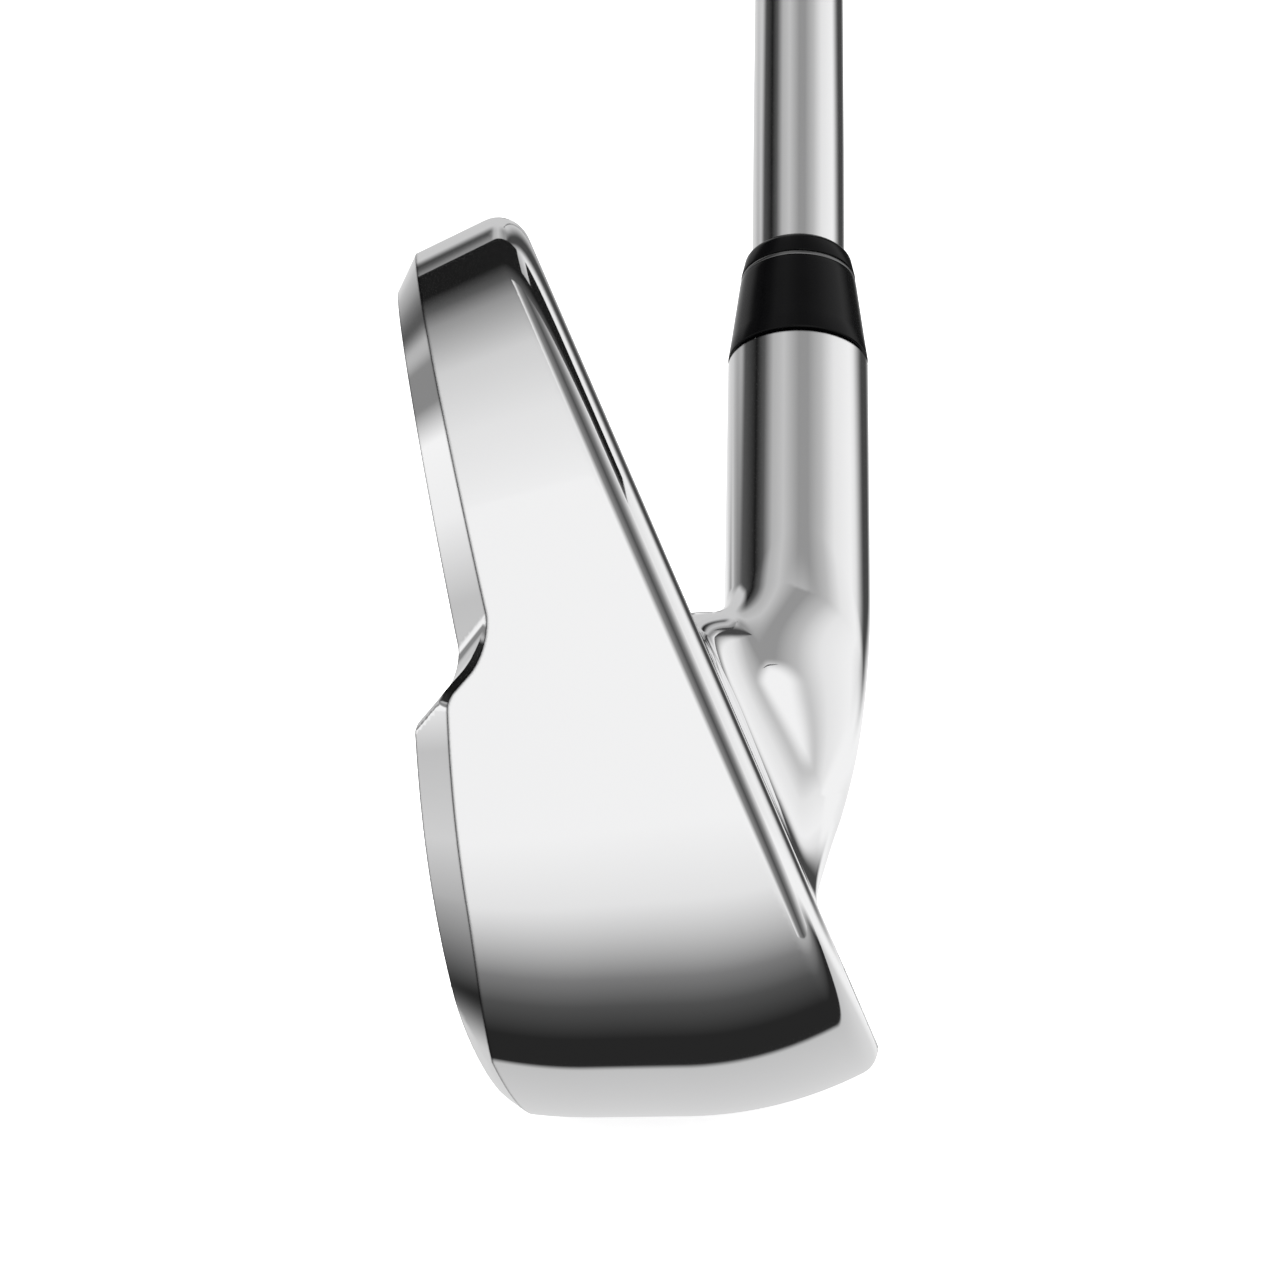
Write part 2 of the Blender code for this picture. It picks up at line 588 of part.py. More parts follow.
def build_grip(rubber, cap_rubber, tape_paper):
    """Rubber sleeve over its mounting tape, closed at the butt by a cap with a vent hole."""
    length = GRIP_CAP_START - GRIP_MOUTH
    spread = GRIP_BUTT_RADIUS - GRIP_MOUTH_RADIUS
    sleeve = [(GRIP_MOUTH_RADIUS - 0.6 * MM, 0.0), (GRIP_MOUTH_RADIUS, 0.8 * MM)]
    for share in (0.25, 0.5, 0.75, 1.0):
        sleeve.append((GRIP_MOUTH_RADIUS + spread * share ** 1.15, 0.8 * MM + (length - 0.8 * MM) * share))
    sleeve += [(GRIP_BORE, length), (GRIP_BORE, 0.0)]
    turned("grip_sleeve", sleeve, rubber, GRIP_MOUTH)
    tape_in = GRIP_BORE - 0.4 * MM
    tape_out = GRIP_BORE - 0.2 * MM
    tape_length = length - 3.0 * MM
    tape = [(tape_in, 0.0), (tape_out, 0.0), (tape_out, tape_length), (tape_in, tape_length)]
    turned("grip_tape", tape, tape_paper, GRIP_MOUTH + 2.0 * MM)
    thickness = CLUB_LENGTH - GRIP_CAP_START - GAP
    cap = [(GRIP_BUTT_RADIUS, 0.0), (GRIP_BUTT_RADIUS, thickness - 2.2 * MM),
           (GRIP_BUTT_RADIUS - 0.7 * MM, thickness - 0.7 * MM), (GRIP_BUTT_RADIUS - 2.2 * MM, thickness),
           (VENT_RADIUS, thickness), (VENT_RADIUS, 0.0)]
    turned("grip_cap", cap, cap_rubber, GRIP_CAP_START + GAP)


def main():
    clear_scene()
    chrome = make_material("polished_chrome", (0.86, 0.87, 0.88), 0.06, 1.0)
    satin = make_material("satin_steel", (0.74, 0.75, 0.76), 0.24, 1.0)
    shaft_chrome = make_material("shaft_chrome", (0.84, 0.85, 0.86), 0.08, 1.0)
    black = make_material("black_plastic", (0.008, 0.008, 0.009), 0.12, 0.0)
    ring_metal = make_material("ring_metal", (0.45, 0.45, 0.46), 0.2, 1.0)
    rubber = make_material("grip_rubber", (0.02, 0.02, 0.02), 0.72, 0.0)
    cap_rubber = make_material("cap_rubber", (0.018, 0.018, 0.018), 0.6, 0.0)
    tape_paper = make_material("mounting_tape", (0.75, 0.72, 0.62), 0.8, 0.0)
    foam = make_material("grey_foam", (0.25, 0.25, 0.26), 0.9, 0.0)
    plug_plastic = make_material("plug_plastic", (0.6, 0.55, 0.4), 0.5, 0.0)
    epoxy = make_material("epoxy", (0.55, 0.5, 0.32), 0.4, 0.0)
    tungsten = make_material("tungsten", (0.38, 0.38, 0.4), 0.4, 1.0)
    damper = make_material("damper_polymer", (0.05, 0.05, 0.055), 0.7, 0.0)
    film = make_material("band_film", (0.62, 0.63, 0.65), 0.3, 0.0)
    badge_metal = make_material("badge_metal", (0.12, 0.12, 0.125), 0.35, 0.6)
    build_head(chrome)
    build_plate(satin)
    build_inserts(tungsten, damper, badge_metal, foam)
    build_shaft(shaft_chrome, plug_plastic, epoxy)
    build_band(film)
    build_ferrule(black, ring_metal)
    build_grip(rubber, cap_rubber, tape_paper)


main()
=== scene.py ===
"""Iron golf club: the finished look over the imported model.

The head is drawn as one smooth solid from its face plane, outline, back and neck, and every other
piece is turned or skinned round the shaft axis.  Lengths in the head section are millimetres; MM
turns them into the frame's metres.
"""

import math

import bpy
import numpy as np
from mathutils import Matrix, Vector


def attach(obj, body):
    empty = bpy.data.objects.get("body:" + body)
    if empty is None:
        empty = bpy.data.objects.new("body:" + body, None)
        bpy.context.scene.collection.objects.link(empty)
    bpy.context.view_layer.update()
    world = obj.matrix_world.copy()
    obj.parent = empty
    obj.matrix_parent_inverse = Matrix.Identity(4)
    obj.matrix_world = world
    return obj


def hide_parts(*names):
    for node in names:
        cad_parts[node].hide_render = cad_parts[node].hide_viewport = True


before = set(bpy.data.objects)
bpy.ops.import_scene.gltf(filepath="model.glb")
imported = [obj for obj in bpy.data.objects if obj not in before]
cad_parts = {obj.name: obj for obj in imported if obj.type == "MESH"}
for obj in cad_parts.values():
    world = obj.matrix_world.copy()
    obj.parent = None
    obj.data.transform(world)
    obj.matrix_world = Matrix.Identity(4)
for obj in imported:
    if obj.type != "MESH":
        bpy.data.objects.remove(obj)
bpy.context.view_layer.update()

MM = 0.001
LIE = math.radians(62.0)
LEAN = math.radians(1.7)
LOFT = math.radians(23.4)
AXIS_FOOT = Vector((13.5, 36.0, 0.0)) * MM
AXIS = Vector((math.sin(LIE) * math.sin(LEAN), math.cos(LIE), math.sin(LIE) * math.cos(LEAN)))

# ---------------------------------------------------------------- head, in millimetres

FACE_FOOT = 18.4                    # x where the face plane meets the ground
WALL_FALL = 0.008                   # how fast the rim wall dips behind the face
EDGE_ROUND = 2.05                   # rounding between face and rim wall
SOLE_FLAT = 3.0
CAMBER_FRONT = 25.0
CAMBER_REAR = 27.0
HOSEL_RADIUS = 6.93
HOSEL_TOP = 64.0
HOSEL_BEVEL = 0.35
HOSEL_BORE = 5.15
BORE_FLOOR = 31.0
NECK_TAPER_TOP = 34.0               # below this height the front of the neck draws back
NECK_TAPER = 0.0064
HEEL_ROUND = 8.0
NECK_TOP = 32.4                     # height of the crotch
NECK_TOE = 42.2                     # y of the web's toe side at the crotch
NECK_SLOPE = 0.15
NECK_BACK = 4.0
NECK_FRONT = 17.6
NECK_DEPTH = 11.0
NECK_EXTRA = 8.0                    # how far the web runs on before its toe side is cut
NECK_BLEND = 3.0                    # inner rounding between web and hosel
NECK_FILLET = 4.5                   # inner rounding between neck and blade
NECK_CUT = 0.958                    # scale of the distance to the neck's toe side
NECK_ROUND = 6.0                    # rounding between the neck's toe side and its front
NECK_CORNER = 4.0
NECK_CROWN = 6.0                    # rounding of the crotch
NECK_SOFT = 2.0                     # keeps the middle of the web free of a ridge

# Back of the blade: x of each surface and how it leans and bends with height
BACK_SWEEP = 14.5                   # how far the back comes forward towards the heel
PLAIN_BACK = (-7.4, -0.113)
STEP_TOP = 33.6
UPPER_BACK = (-10.75, -0.2, 0.0005)
STEP_FOOT = 28.6
MUSCLE_BACK = (-13.25, 0.045, 0.0042)
BACK_LEAN = 0.98                    # turns a distance along x into one square to the back
# Planes of the step's shelf and of the turned-under edge: x, z, and the normal's x and z
SHELF_PLANE = (-13.2, 28.6, -0.753, 0.658)
TUCK_PLANE = (-8.9, 3.6, -0.921, -0.391)
TUCK_ROUND = 1.0
UPPER_BEVEL = (2.15, 0.03, 36.0)    # width, how fast it narrows with height, and from where
TOPLINE_BEVEL = 1.3
MUSCLE_BEVEL = (0.9, 1.2)           # width at the sole, and how much wider it gets
SHELF_BEVEL = 0.45
STEP_ROUND = 1.2

# Control points of the outline square to the face, (y, height at the face), round the toe and back
OUTLINE = [(60, 28), (40, 32.4), (20, 39.0), (0, 47.3), (-16, 54.6), (-29.4, 61.9), (-36.6, 57.9),
           (-39.2, 44.5), (-39.8, 32), (-38.5, 20), (-33.5, 8.4), (-24, 1.6), (-12, 0), (0, 0),
           (12, 0), (24, 0.7), (34, 0.9), (40, -3), (43, 4), (48, 16), (56, 22)]

PLATE_INSET = 2.4
PLATE_DEPTH = 2.7
PLATE_HEEL = 22.0
CAVITY_INSET = 5.0
CAVITY_DEPTH = 5.2
CAVITY_HEEL = 17.0
CAVITY_SILL = 37.0
CAVITY_FLARE = 0.9                  # how far the cavity's wall stands outside CAVITY_EDGE
CAVITY_CORNER = 1.6
CAVITY_LIP = 0.4
FAR_OFF = 9.0                       # distance given where a pocket is not worked out

PLATE_SEAM = 0.12
SCORE_FIRST = 10.5
SCORE_PITCH = 3.5
SCORE_COUNT = 11
SCORE_WIDTH = 0.9
SCORE_TOE = -21.0
SCORE_HEEL = 19.0
SCORE_TOP = 40.5                    # height at y = 0 of the line that the score lines stop at
SCORE_TOPLINE_SLOPE = 0.42
BADGE_INSET = 1.2
BADGE_FRONT = 6.2
BADGE_BACK = 7.4
BADGE_BORDER = 1.6
BADGE_RELIEF = 0.35

# Shaft, ferrule and grip, in millimetres
TIP_START = 31.5
TIP_RADIUS = 4.5
PARALLEL_RADIUS = 4.7
PARALLEL_START = 90.0
STEP_FIRST = 215.0
STEP_PITCH = 33.0
STEP_COUNT = 15
STEP_GROWTH = 0.193
STEP_LENGTH = 1.5
SHAFT_WALL = 0.6
SHAFT_END = 946.0
BAND_STEP = 11
BAND_LENGTH = 25.0
FERRULE_START = 64.15
FERRULE_LENGTH = 12.2
FERRULE_TOP_RADIUS = 5.45
FERRULE_BORE = 4.82
RING_START = 9.1
RING_WIDTH = 0.6
RING_SEAT = 0.45
GRIP_MOUTH = 686.0
GRIP_CAP = 947.0
GRIP_MOUTH_RADIUS = 9.3
GRIP_SPREAD = 3.9
GRIP_BORE = 8.2
GRIP_DIAMONDS = 14
GRIP_DIAMOND_PITCH = 5.6
GRIP_RELIEF = 0.35
GRIP_RINGS = 900
GRIP_SIDES = 224
VENT_RADIUS = 1.3
CLUB_LENGTH = 952.5

# Studio reflections: (angle in degrees, brightness) stops.  ROLL turns about Y from -90 at the back,
# over the top, to 90 in front; PITCH turns about X from 0 ahead of the toe down to -180 behind it
STUDIO_WHITE = 0.92
# ROLL's depth is this much of 1 - y less this much of z, which equals z in the shaft's reflections
ROLL_DEPTH = 0.556
ROLL_TILT = 0.045
ROLL = [(-90, 0.85), (-80, 0.6), (-70, 0.1), (-58, 0.01), (-50, 0.1), (-40, 0.45), (-25, 0.55),
        (0, 0.3), (15, 0.3), (35, 0.5), (50, 0.8), (65, 0.9), (80, 0.5)]
PITCH = [(-180, 0.75), (-105, 0.55), (-102, 0.02), (-85, 0.02), (-70, 0.08), (-60, 0.2),
         (-50, 0.5), (-40, 0.8), (-25, 0.92)]
# Dark strip in front of the heel: azimuth, half width, softness, in degrees, and brightness
STRIP = (50.0, 6.0, 24.0, 0.06)
BEHIND = 0.6                        # brightness high behind the heel
# Low flag, grey panel, white panel, grey band and upper panel behind the back of the club:
# (elevation in degrees, brightness)
SIDE = [(-35, 0.02), (-32, 0.2), (-28, 0.45), (-20, 0.65), (-10, 0.55), (-5, 0.9), (0, 0.95),
        (3, 0.25), (7, 0.25), (10, 0.75)]
# Cards over the toe, black close by and fading to white further out: (y in millimetres, brightness)
TOP_CARD_HEIGHT = 90.0
TOP_CARD_SIDES = (-110.0, 4.0, 12.0, 80.0)
TOP_CARD_SLOT = -46.0
TOP_CARD = [(-30, 0.01), (-50, 0.01), (-60, 0.1), (-70, 0.3), (-100, 0.65), (-150, 0.8), (-240, 0.9)]
FACE_CARD = [(-30, 0.01), (-50, 0.01), (-60, 0.1), (-70, 0.3), (-100, 0.7), (-120, 0.9), (-240, 0.92)]
FACE_CARD_REACH = 100.0
# Card close to the toe along the face's edge, white, dark and white: (millimetres ahead, brightness)
EDGE_CARD_Y = -60.0
EDGE_CARD_HEIGHTS = (-15.0, 100.0)
EDGE_CARD_LIFT = 7.0
EDGE_CARD_REACH = 85.0
EDGE_CARD = [(-1, 0.9), (5, 0.25), (15, 0.08), (25, 0.2), (40, 0.5), (70, 0.9)]

CELL = 0.3   # size of the head's mesh
EDGE_SHARE = 0.03                   # how unlike a cell's normals must be for it to hold an edge
COARSE = 4                          # cells of the mesh in one cell of the first search


def smooth(value, start, end):
    """Smooth step from 0 at start to 1 at end."""
    share = np.clip((value - start) / (end - start), 0.0, 1.0)
    return share * share * (3.0 - 2.0 * share)


def round_join(a, b, radius):
    """Both solids together, with the inner corner between them rounded."""
    u = np.maximum(radius - a, 0.0)
    v = np.maximum(radius - b, 0.0)
    return np.maximum(radius, np.minimum(a, b)) - np.hypot(u, v)


def round_meet(a, b, radius):
    """What both solids share, with the outer edge rounded."""
    return -round_join(-a, -b, radius)


def bevel_cut(a, b, width):
    """Solid b with the edge that it shares with a cut off flat, this wide on b."""
    return np.maximum(b, (a + b + width) * math.sqrt(0.5))


class Spline:
    """Closed uniform cubic B-spline that tells the signed distance to itself, negative inside."""

    GRID = 0.5
    MARGIN = 12.0
    SAMPLES = 24

    def __init__(self, points):
        self.points = np.array(points, float)
        count = len(self.points)
        self.starts = np.arange(count * self.SAMPLES) / self.SAMPLES
        samples = self.read(self.starts)[0]
        self.low = samples.min(axis=0) - self.MARGIN
        size = np.ceil((samples.max(axis=0) + self.MARGIN - self.low) / self.GRID).astype(int) + 1
        rows = self.low[0] + np.arange(size[0]) * self.GRID
        columns = self.low[1] + np.arange(size[1]) * self.GRID
        self.table = np.empty(size, np.int32)
        for index, row in enumerate(rows):
            distance = (samples[None, :, 0] - row) ** 2 + (samples[None, :, 1] - columns[:, None]) ** 2
            self.table[index] = distance.argmin(axis=1)

    def read(self, place):
        """Point, first and second derivative at places along the curve."""
        span = np.floor(place).astype(int)
        t = (place - span)[:, None]
        count = len(self.points)
        p0, p1, p2, p3 = (self.points[(span + step) % count] for step in range(4))
        point = ((1 - t) ** 3 * p0 + (3 * t ** 3 - 6 * t ** 2 + 4) * p1
                 + (-3 * t ** 3 + 3 * t ** 2 + 3 * t + 1) * p2 + t ** 3 * p3) / 6
        first = (-(1 - t) ** 2 * p0 + (3 * t ** 2 - 4 * t) * p1
                 + (-3 * t ** 2 + 2 * t + 1) * p2 + t ** 2 * p3) / 2
        second = (1 - t) * p0 + (3 * t - 2) * p1 + (1 - 3 * t) * p2 + t * p3
        return point, first, second

    def distance(self, across, up):
        where = np.stack([across, up], axis=1)
        cell = np.rint((where - self.low) / self.GRID).astype(int)
        cell = np.clip(cell, 0, np.array(self.table.shape) - 1)
        place = self.starts[self.table[cell[:, 0], cell[:, 1]]]
        for _ in range(4):
            point, first, second = self.read(place)
            away = point - where
            slope = (away * first).sum(axis=1)
            speed = (first * first).sum(axis=1)
            bend = np.maximum(speed + (away * second).sum(axis=1), 0.3 * speed)
            place = place - np.clip(slope / bend, -0.2, 0.2)
        point, first, _ = self.read(place)
        away = where - point
        length = np.hypot(first[:, 0], first[:, 1])
        return -(first[:, 0] * away[:, 1] - first[:, 1] * away[:, 0]) / length


OUTLINE_SPLINE = Spline(OUTLINE)


def sole_rise(x):
    """How far the sole has curved up from its flat spot at x."""
    front = np.maximum(x - SOLE_FLAT, 0.0) ** 2 / (2 * CAMBER_FRONT)
    rear = np.maximum(-x - SOLE_FLAT, 0.0) ** 2 / (2 * CAMBER_REAR)
    return front + rear


def face_distance(x, z):
    return (x - FACE_FOOT + z * math.tan(LOFT)) * math.cos(LOFT)


def facing_height(face, z):
    """Height of the point's foot on the face plane."""
    return z - face * math.sin(LOFT)


def face_height(x, z):
    """Height on the face from which the rim wall falls back to (x, z)."""
    slope = WALL_FALL * math.tan(LOFT)
    lead = 1.0 - WALL_FALL * (FACE_FOOT - x)
    return (np.sqrt(np.maximum(lead * lead + 4 * slope * z, 0.01)) - lead) / (2 * slope)


def plane_distance(plane, x, z):
    """Distance in front of a plane that runs from heel to toe."""
    at_x, at_z, normal_x, normal_z = plane
    return (x - at_x) * normal_x + (z - at_z) * normal_z


def back_distance(x, y, z, rim):
    """Back of the blade: bevelled upper blade, concave step, bevelled muscle, turned-under edge."""
    fade = smooth(y, 6.0, 20.0)
    x = x - BACK_SWEEP * smooth(y, 16.0, 46.0)
    start, lean = PLAIN_BACK
    plain = start + lean * z
    start, lean, bend = UPPER_BACK
    above = z - STEP_TOP
    upper_x = start + lean * above + bend * above ** 2
    start, lean, bend = MUSCLE_BACK
    below = STEP_FOOT - z
    muscle_x = start + lean * below + bend * below ** 2
    upper = BACK_LEAN * (upper_x + (plain - upper_x) * fade - x)
    muscle = BACK_LEAN * (muscle_x + (plain - muscle_x) * fade - x)
    shelf = plane_distance(SHELF_PLANE, x, z)
    tuck = plane_distance(TUCK_PLANE, x, z)
    topline = smooth(y, -34.0, -22.0)
    width, narrowing, level = UPPER_BEVEL
    upper_bevel = (width - narrowing * (z - level)) * (1.0 - topline) + TOPLINE_BEVEL * topline
    width, growth = MUSCLE_BEVEL
    muscle_bevel = width + growth * smooth(z, 0.0, 18.0)
    upper = bevel_cut(rim, upper, upper_bevel)
    muscle = bevel_cut(rim, round_meet(muscle, tuck, TUCK_ROUND), muscle_bevel)
    shelf = bevel_cut(rim, shelf, SHELF_BEVEL)
    muscle = round_meet(muscle, shelf, 0.3)
    return round_join(upper, muscle, STEP_ROUND * (1.0 - fade) + 0.05)


def hosel_distance(x, y, z):
    """Round hosel whose front draws back below the crotch, and the height along its axis."""
    dx = x - AXIS_FOOT.x / MM
    dy = y - AXIS_FOOT.y / MM
    along = dx * AXIS.x + dy * AXIS.y + z * AXIS.z
    side = dx - along * AXIS.x
    up = np.hypot(dy - along * AXIS.y, z - along * AXIS.z)
    taper = np.maximum(NECK_TAPER_TOP - z, 0.0) ** 2 * NECK_TAPER
    share = np.maximum(1.0 - taper / HOSEL_RADIUS, 0.12)
    share = np.where(side > 0.0, share, 1.0)
    reach = np.hypot(side / share, up) + 1e-6
    slope = np.hypot(side / share ** 2, up) / reach
    return (reach - HOSEL_RADIUS) / np.maximum(slope, 0.2), along


def neck_forward(y, z):
    """How far the point is behind the toe side of the neck, below the crotch."""
    return y - NECK_TOE - NECK_SLOPE * (z - NECK_TOP)


def neck_distance(x, y, z):
    """Web under the crotch, before its toe side is cut: its front draws back as the neck's does."""
    left = FACE_FOOT - z * math.tan(LOFT) - NECK_BACK
    right = NECK_FRONT - np.maximum(NECK_TAPER_TOP - z, 0.0) ** 2 * NECK_TAPER
    forward = neck_forward(y, z)
    half = np.maximum((right - left) / 2, NECK_CORNER + 0.1)
    across = np.hypot(x - (right + left) / 2, NECK_SOFT) - half + NECK_CORNER
    deep = np.abs(forward - (NECK_DEPTH - NECK_EXTRA) / 2) - (NECK_DEPTH + NECK_EXTRA) / 2 + NECK_CORNER
    column = np.hypot(np.maximum(across, 0.0), np.maximum(deep, 0.0)) - NECK_CORNER
    column = column + np.minimum(np.maximum(across, deep), 0.0)
    return round_meet(column, z - NECK_TOP, NECK_CROWN)


def outline_polygon(inset, heel, sill=None):
    """Closed outline moved inwards and cut off at the heel and at a sill, as (y, height) points."""
    points, first, _ = OUTLINE_SPLINE.read(OUTLINE_SPLINE.starts[::2])
    normal = np.stack([-first[:, 1], first[:, 0]], axis=1) / np.linalg.norm(first, axis=1)[:, None]
    lift = 1.9 * smooth(-points[:, 1], -14.0, 0.0)
    points = points + normal * (inset + lift)[:, None]
    kept = []
    for y, height in points:
        if y < heel and height > (sill if sill is not None else 2.0):
            kept.append((y, height))
    return np.array(kept)


def polygon_distance(polygon, across, up):
    """Signed distance to a closed polygon, negative inside."""
    best = np.full(across.shape, 1e9)
    inside = np.zeros(across.shape, bool)
    ends = np.roll(polygon, -1, axis=0)
    for (ay, ah), (by, bh) in zip(polygon, ends):
        ey, eh = by - ay, bh - ah
        py, ph = across - ay, up - ah
        share = np.clip((py * ey + ph * eh) / (ey * ey + eh * eh), 0.0, 1.0)
        best = np.minimum(best, (py - ey * share) ** 2 + (ph - eh * share) ** 2)
        crosses = (ah > up) != (bh > up)
        if eh != 0.0:
            inside ^= crosses & (across < ay + (up - ah) * ey / eh)
    return np.where(inside, -np.sqrt(best), np.sqrt(best))


PLATE_EDGE = outline_polygon(PLATE_INSET, PLATE_HEEL)
CAVITY_EDGE = outline_polygon(CAVITY_INSET, CAVITY_HEEL, CAVITY_SILL)


def head_field(points):
    """Signed distance to the head, near enough to true close to its surface, in millimetres."""
    x, y, z = points.T
    face = face_distance(x, z)
    height = face_height(x, z)
    height = height - sole_rise(x) * (1.0 - smooth(height, 6.0, 30.0))
    rim = OUTLINE_SPLINE.distance(y, height)
    leading = 1.0 - smooth(z, 4.0, 14.0)
    front = round_meet(face, rim, EDGE_ROUND - 0.45 * leading)
    blade = np.maximum(front, back_distance(x, y, z, rim))
    hosel, along = hosel_distance(x, y, z)
    neck = round_join(neck_distance(x, y, z), hosel, NECK_BLEND)
    neck = round_meet(neck, -neck_forward(y, z) * NECK_CUT, NECK_ROUND)
    solid = round_join(blade, neck, NECK_FILLET)
    base = 0.8 + 0.1 * (y - 30.0) - height
    base_round = 0.4 + (HEEL_ROUND - 0.4) * smooth(y, 30.0, 44.0)
    solid = np.where(y > 26.0, round_meet(solid, base, base_round), solid)
    top = along - HOSEL_TOP
    solid = np.maximum(solid, bevel_cut(solid, top, HOSEL_BEVEL))
    bore = np.hypot(*bore_offsets(x, y, z, along)) - HOSEL_BORE
    solid = np.maximum(solid, -np.maximum(bore, BORE_FLOOR - along))
    # The plate's pocket and the rear cavity, square to the face
    facing = facing_height(face, z)
    near = (face > -8.0) & (face < 2.0) & (y < PLATE_HEEL + 4.0)
    pocket = np.full(x.shape, FAR_OFF)
    pocket[near] = polygon_distance(PLATE_EDGE, y[near], facing[near])
    solid = np.maximum(solid, -np.maximum(pocket, -(face + PLATE_DEPTH)))
    near = (face < 0.0) & (y < CAVITY_HEEL + 6.0) & (facing > CAVITY_SILL - 6.0)
    cavity = np.full(x.shape, FAR_OFF)
    cavity[near] = polygon_distance(CAVITY_EDGE, y[near], facing[near])
    hollow = round_meet(cavity - CAVITY_FLARE, face + CAVITY_DEPTH, CAVITY_CORNER)
    return -round_join(-solid, hollow, CAVITY_LIP)


def bore_offsets(x, y, z, along):
    """Offsets from the shaft axis, across it and square to that."""
    side = x - AXIS_FOOT.x / MM - along * AXIS.x
    up = np.hypot(y - AXIS_FOOT.y / MM - along * AXIS.y, z - along * AXIS.z)
    return side, up


def in_chunks(function, points, size=400000):
    return np.concatenate([function(points[start:start + size]) for start in range(0, len(points), size)])


def field_normals(field, points, step=0.004):
    """Unit gradient of a field, and its value."""
    value = in_chunks(field, points)
    slope = np.empty_like(points)
    for axis in range(3):
        moved = points.copy()
        moved[:, axis] += step
        slope[:, axis] = in_chunks(field, moved) - value
    slope /= step
    length = np.linalg.norm(slope, axis=1)
    return slope / np.maximum(length, 1e-9)[:, None], value / np.maximum(length, 0.3)


def mesh_field(field, low, high, cell):
    """Mesh of the field's surface that keeps its sharp edges: points, quads and corner normals."""
    size = np.ceil((high - low) / (cell * COARSE)).astype(int)
    grid = np.stack(np.meshgrid(*[np.arange(n) for n in size], indexing="ij"), axis=-1).reshape(-1, 3)
    centres = low + (grid + 0.5) * cell * COARSE
    reach = cell * COARSE * math.sqrt(3) / 2 * 1.35 + 0.2
    grid = grid[np.abs(in_chunks(field, centres)) < reach]
    shape = size * COARSE + 1
    known = np.zeros(shape, bool)
    for step in np.ndindex(COARSE + 1, COARSE + 1, COARSE + 1):
        known[tuple((grid * COARSE + step).T)] = True
    nodes = np.argwhere(known)
    values = np.zeros(shape, np.float32)
    values[tuple(nodes.T)] = in_chunks(field, low + nodes * cell)
    # Edges of the grid that the surface crosses
    starts, axes, signs = [], [], []
    for axis in range(3):
        first = [slice(None)] * 3
        second = [slice(None)] * 3
        first[axis] = slice(0, -1)
        second[axis] = slice(1, None)
        a, b = values[tuple(first)], values[tuple(second)]
        both = known[tuple(first)] & known[tuple(second)]
        crossing = np.argwhere(both & ((a < 0) != (b < 0)))
        starts.append(crossing)
        axes.append(np.full(len(crossing), axis))
        signs.append(a[tuple(crossing.T)] < 0)
    starts = np.concatenate(starts)
    axes = np.concatenate(axes)
    inside_first = np.concatenate(signs)
    direction = np.eye(3)[axes]
    lo = np.zeros(len(starts))
    hi = np.ones(len(starts))
    base = low + starts * cell
    for _ in range(9):
        middle = (lo + hi) / 2
        value = in_chunks(field, base + direction * (middle * cell)[:, None])
        same = (value < 0) == inside_first
        lo = np.where(same, middle, lo)
        hi = np.where(same, hi, middle)
    crossings = base + direction * ((lo + hi) / 2 * cell)[:, None]
    normals, _ = field_normals(field, crossings)
    # The four cells round each crossed edge
    corners = np.empty((len(starts), 4, 3), int)
    for axis in range(3):
        u, v = (axis + 1) % 3, (axis + 2) % 3
        rows = axes == axis
        for index, (du, dv) in enumerate(((-1, -1), (0, -1), (0, 0), (-1, 0))):
            cells = starts[rows].copy()
            cells[:, u] += du
            cells[:, v] += dv
            corners[rows, index] = cells
    keys = np.ravel_multi_index(tuple(corners.reshape(-1, 3).T), shape)
    unique, quad = np.unique(keys, return_inverse=True)
    quad = quad.reshape(-1, 4)
    cells = np.stack(np.unravel_index(unique, shape), axis=1)
    # One point per cell, where the planes through its crossings meet
    weight = np.bincount(quad.ravel(), minlength=len(unique)).astype(float)
    owners = quad.ravel()
    spread = np.repeat(np.arange(len(starts)), 4)
    mean = np.stack([np.bincount(owners, crossings[spread, axis]) for axis in range(3)], axis=1)
    mean /= weight[:, None]
    matrix = np.empty((len(unique), 3, 3))
    for row in range(3):
        for column in range(3):
            matrix[:, row, column] = np.bincount(owners, (normals[:, row] * normals[:, column])[spread])
    offset = ((crossings[spread] - mean[owners]) * normals[spread]).sum(axis=1)
    right = np.stack([np.bincount(owners, normals[spread, axis] * offset) for axis in range(3)], axis=1)
    strength, vectors = np.linalg.eigh(matrix)
    keep = strength > EDGE_SHARE * strength[:, 2:]
    inverse = np.where(keep, 1.0 / np.maximum(strength, 1e-9), 0.0)
    local = np.einsum("nji,nj->ni", vectors, right) * inverse
    points = mean + np.einsum("nij,nj->ni", vectors, local)
    floor = low + cells * cell
    points = np.clip(points, floor - 0.25 * cell, floor + 1.25 * cell)
    plain = keep.sum(axis=1) == 1
    for _ in range(2):
        normal, value = field_normals(field, points[plain])
        points[plain] -= normal * np.clip(value, -cell, cell)[:, None]
    flip = ~inside_first
    quad[flip] = quad[flip][:, ::-1]
    # Normals at the corners: the field's own, read just inside each face where an edge is near
    vertex_normal, _ = field_normals(field, points)
    corner_normal = vertex_normal[quad]
    edged = (~plain)[quad]
    centre = points[quad].mean(axis=1)
    near = points[quad] + (centre[:, None, :] - points[quad]) * 0.3
    corner_normal[edged] = field_normals(field, near[edged])[0]
    return points, quad, corner_normal.reshape(-1, 3)


def add_piece(name, mesh, replaced, material):
    piece = bpy.data.objects.new(name, mesh)
    bpy.context.collection.objects.link(piece)
    mesh.materials.append(material)
    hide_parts(*replaced)
    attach(piece, "root")
    return piece


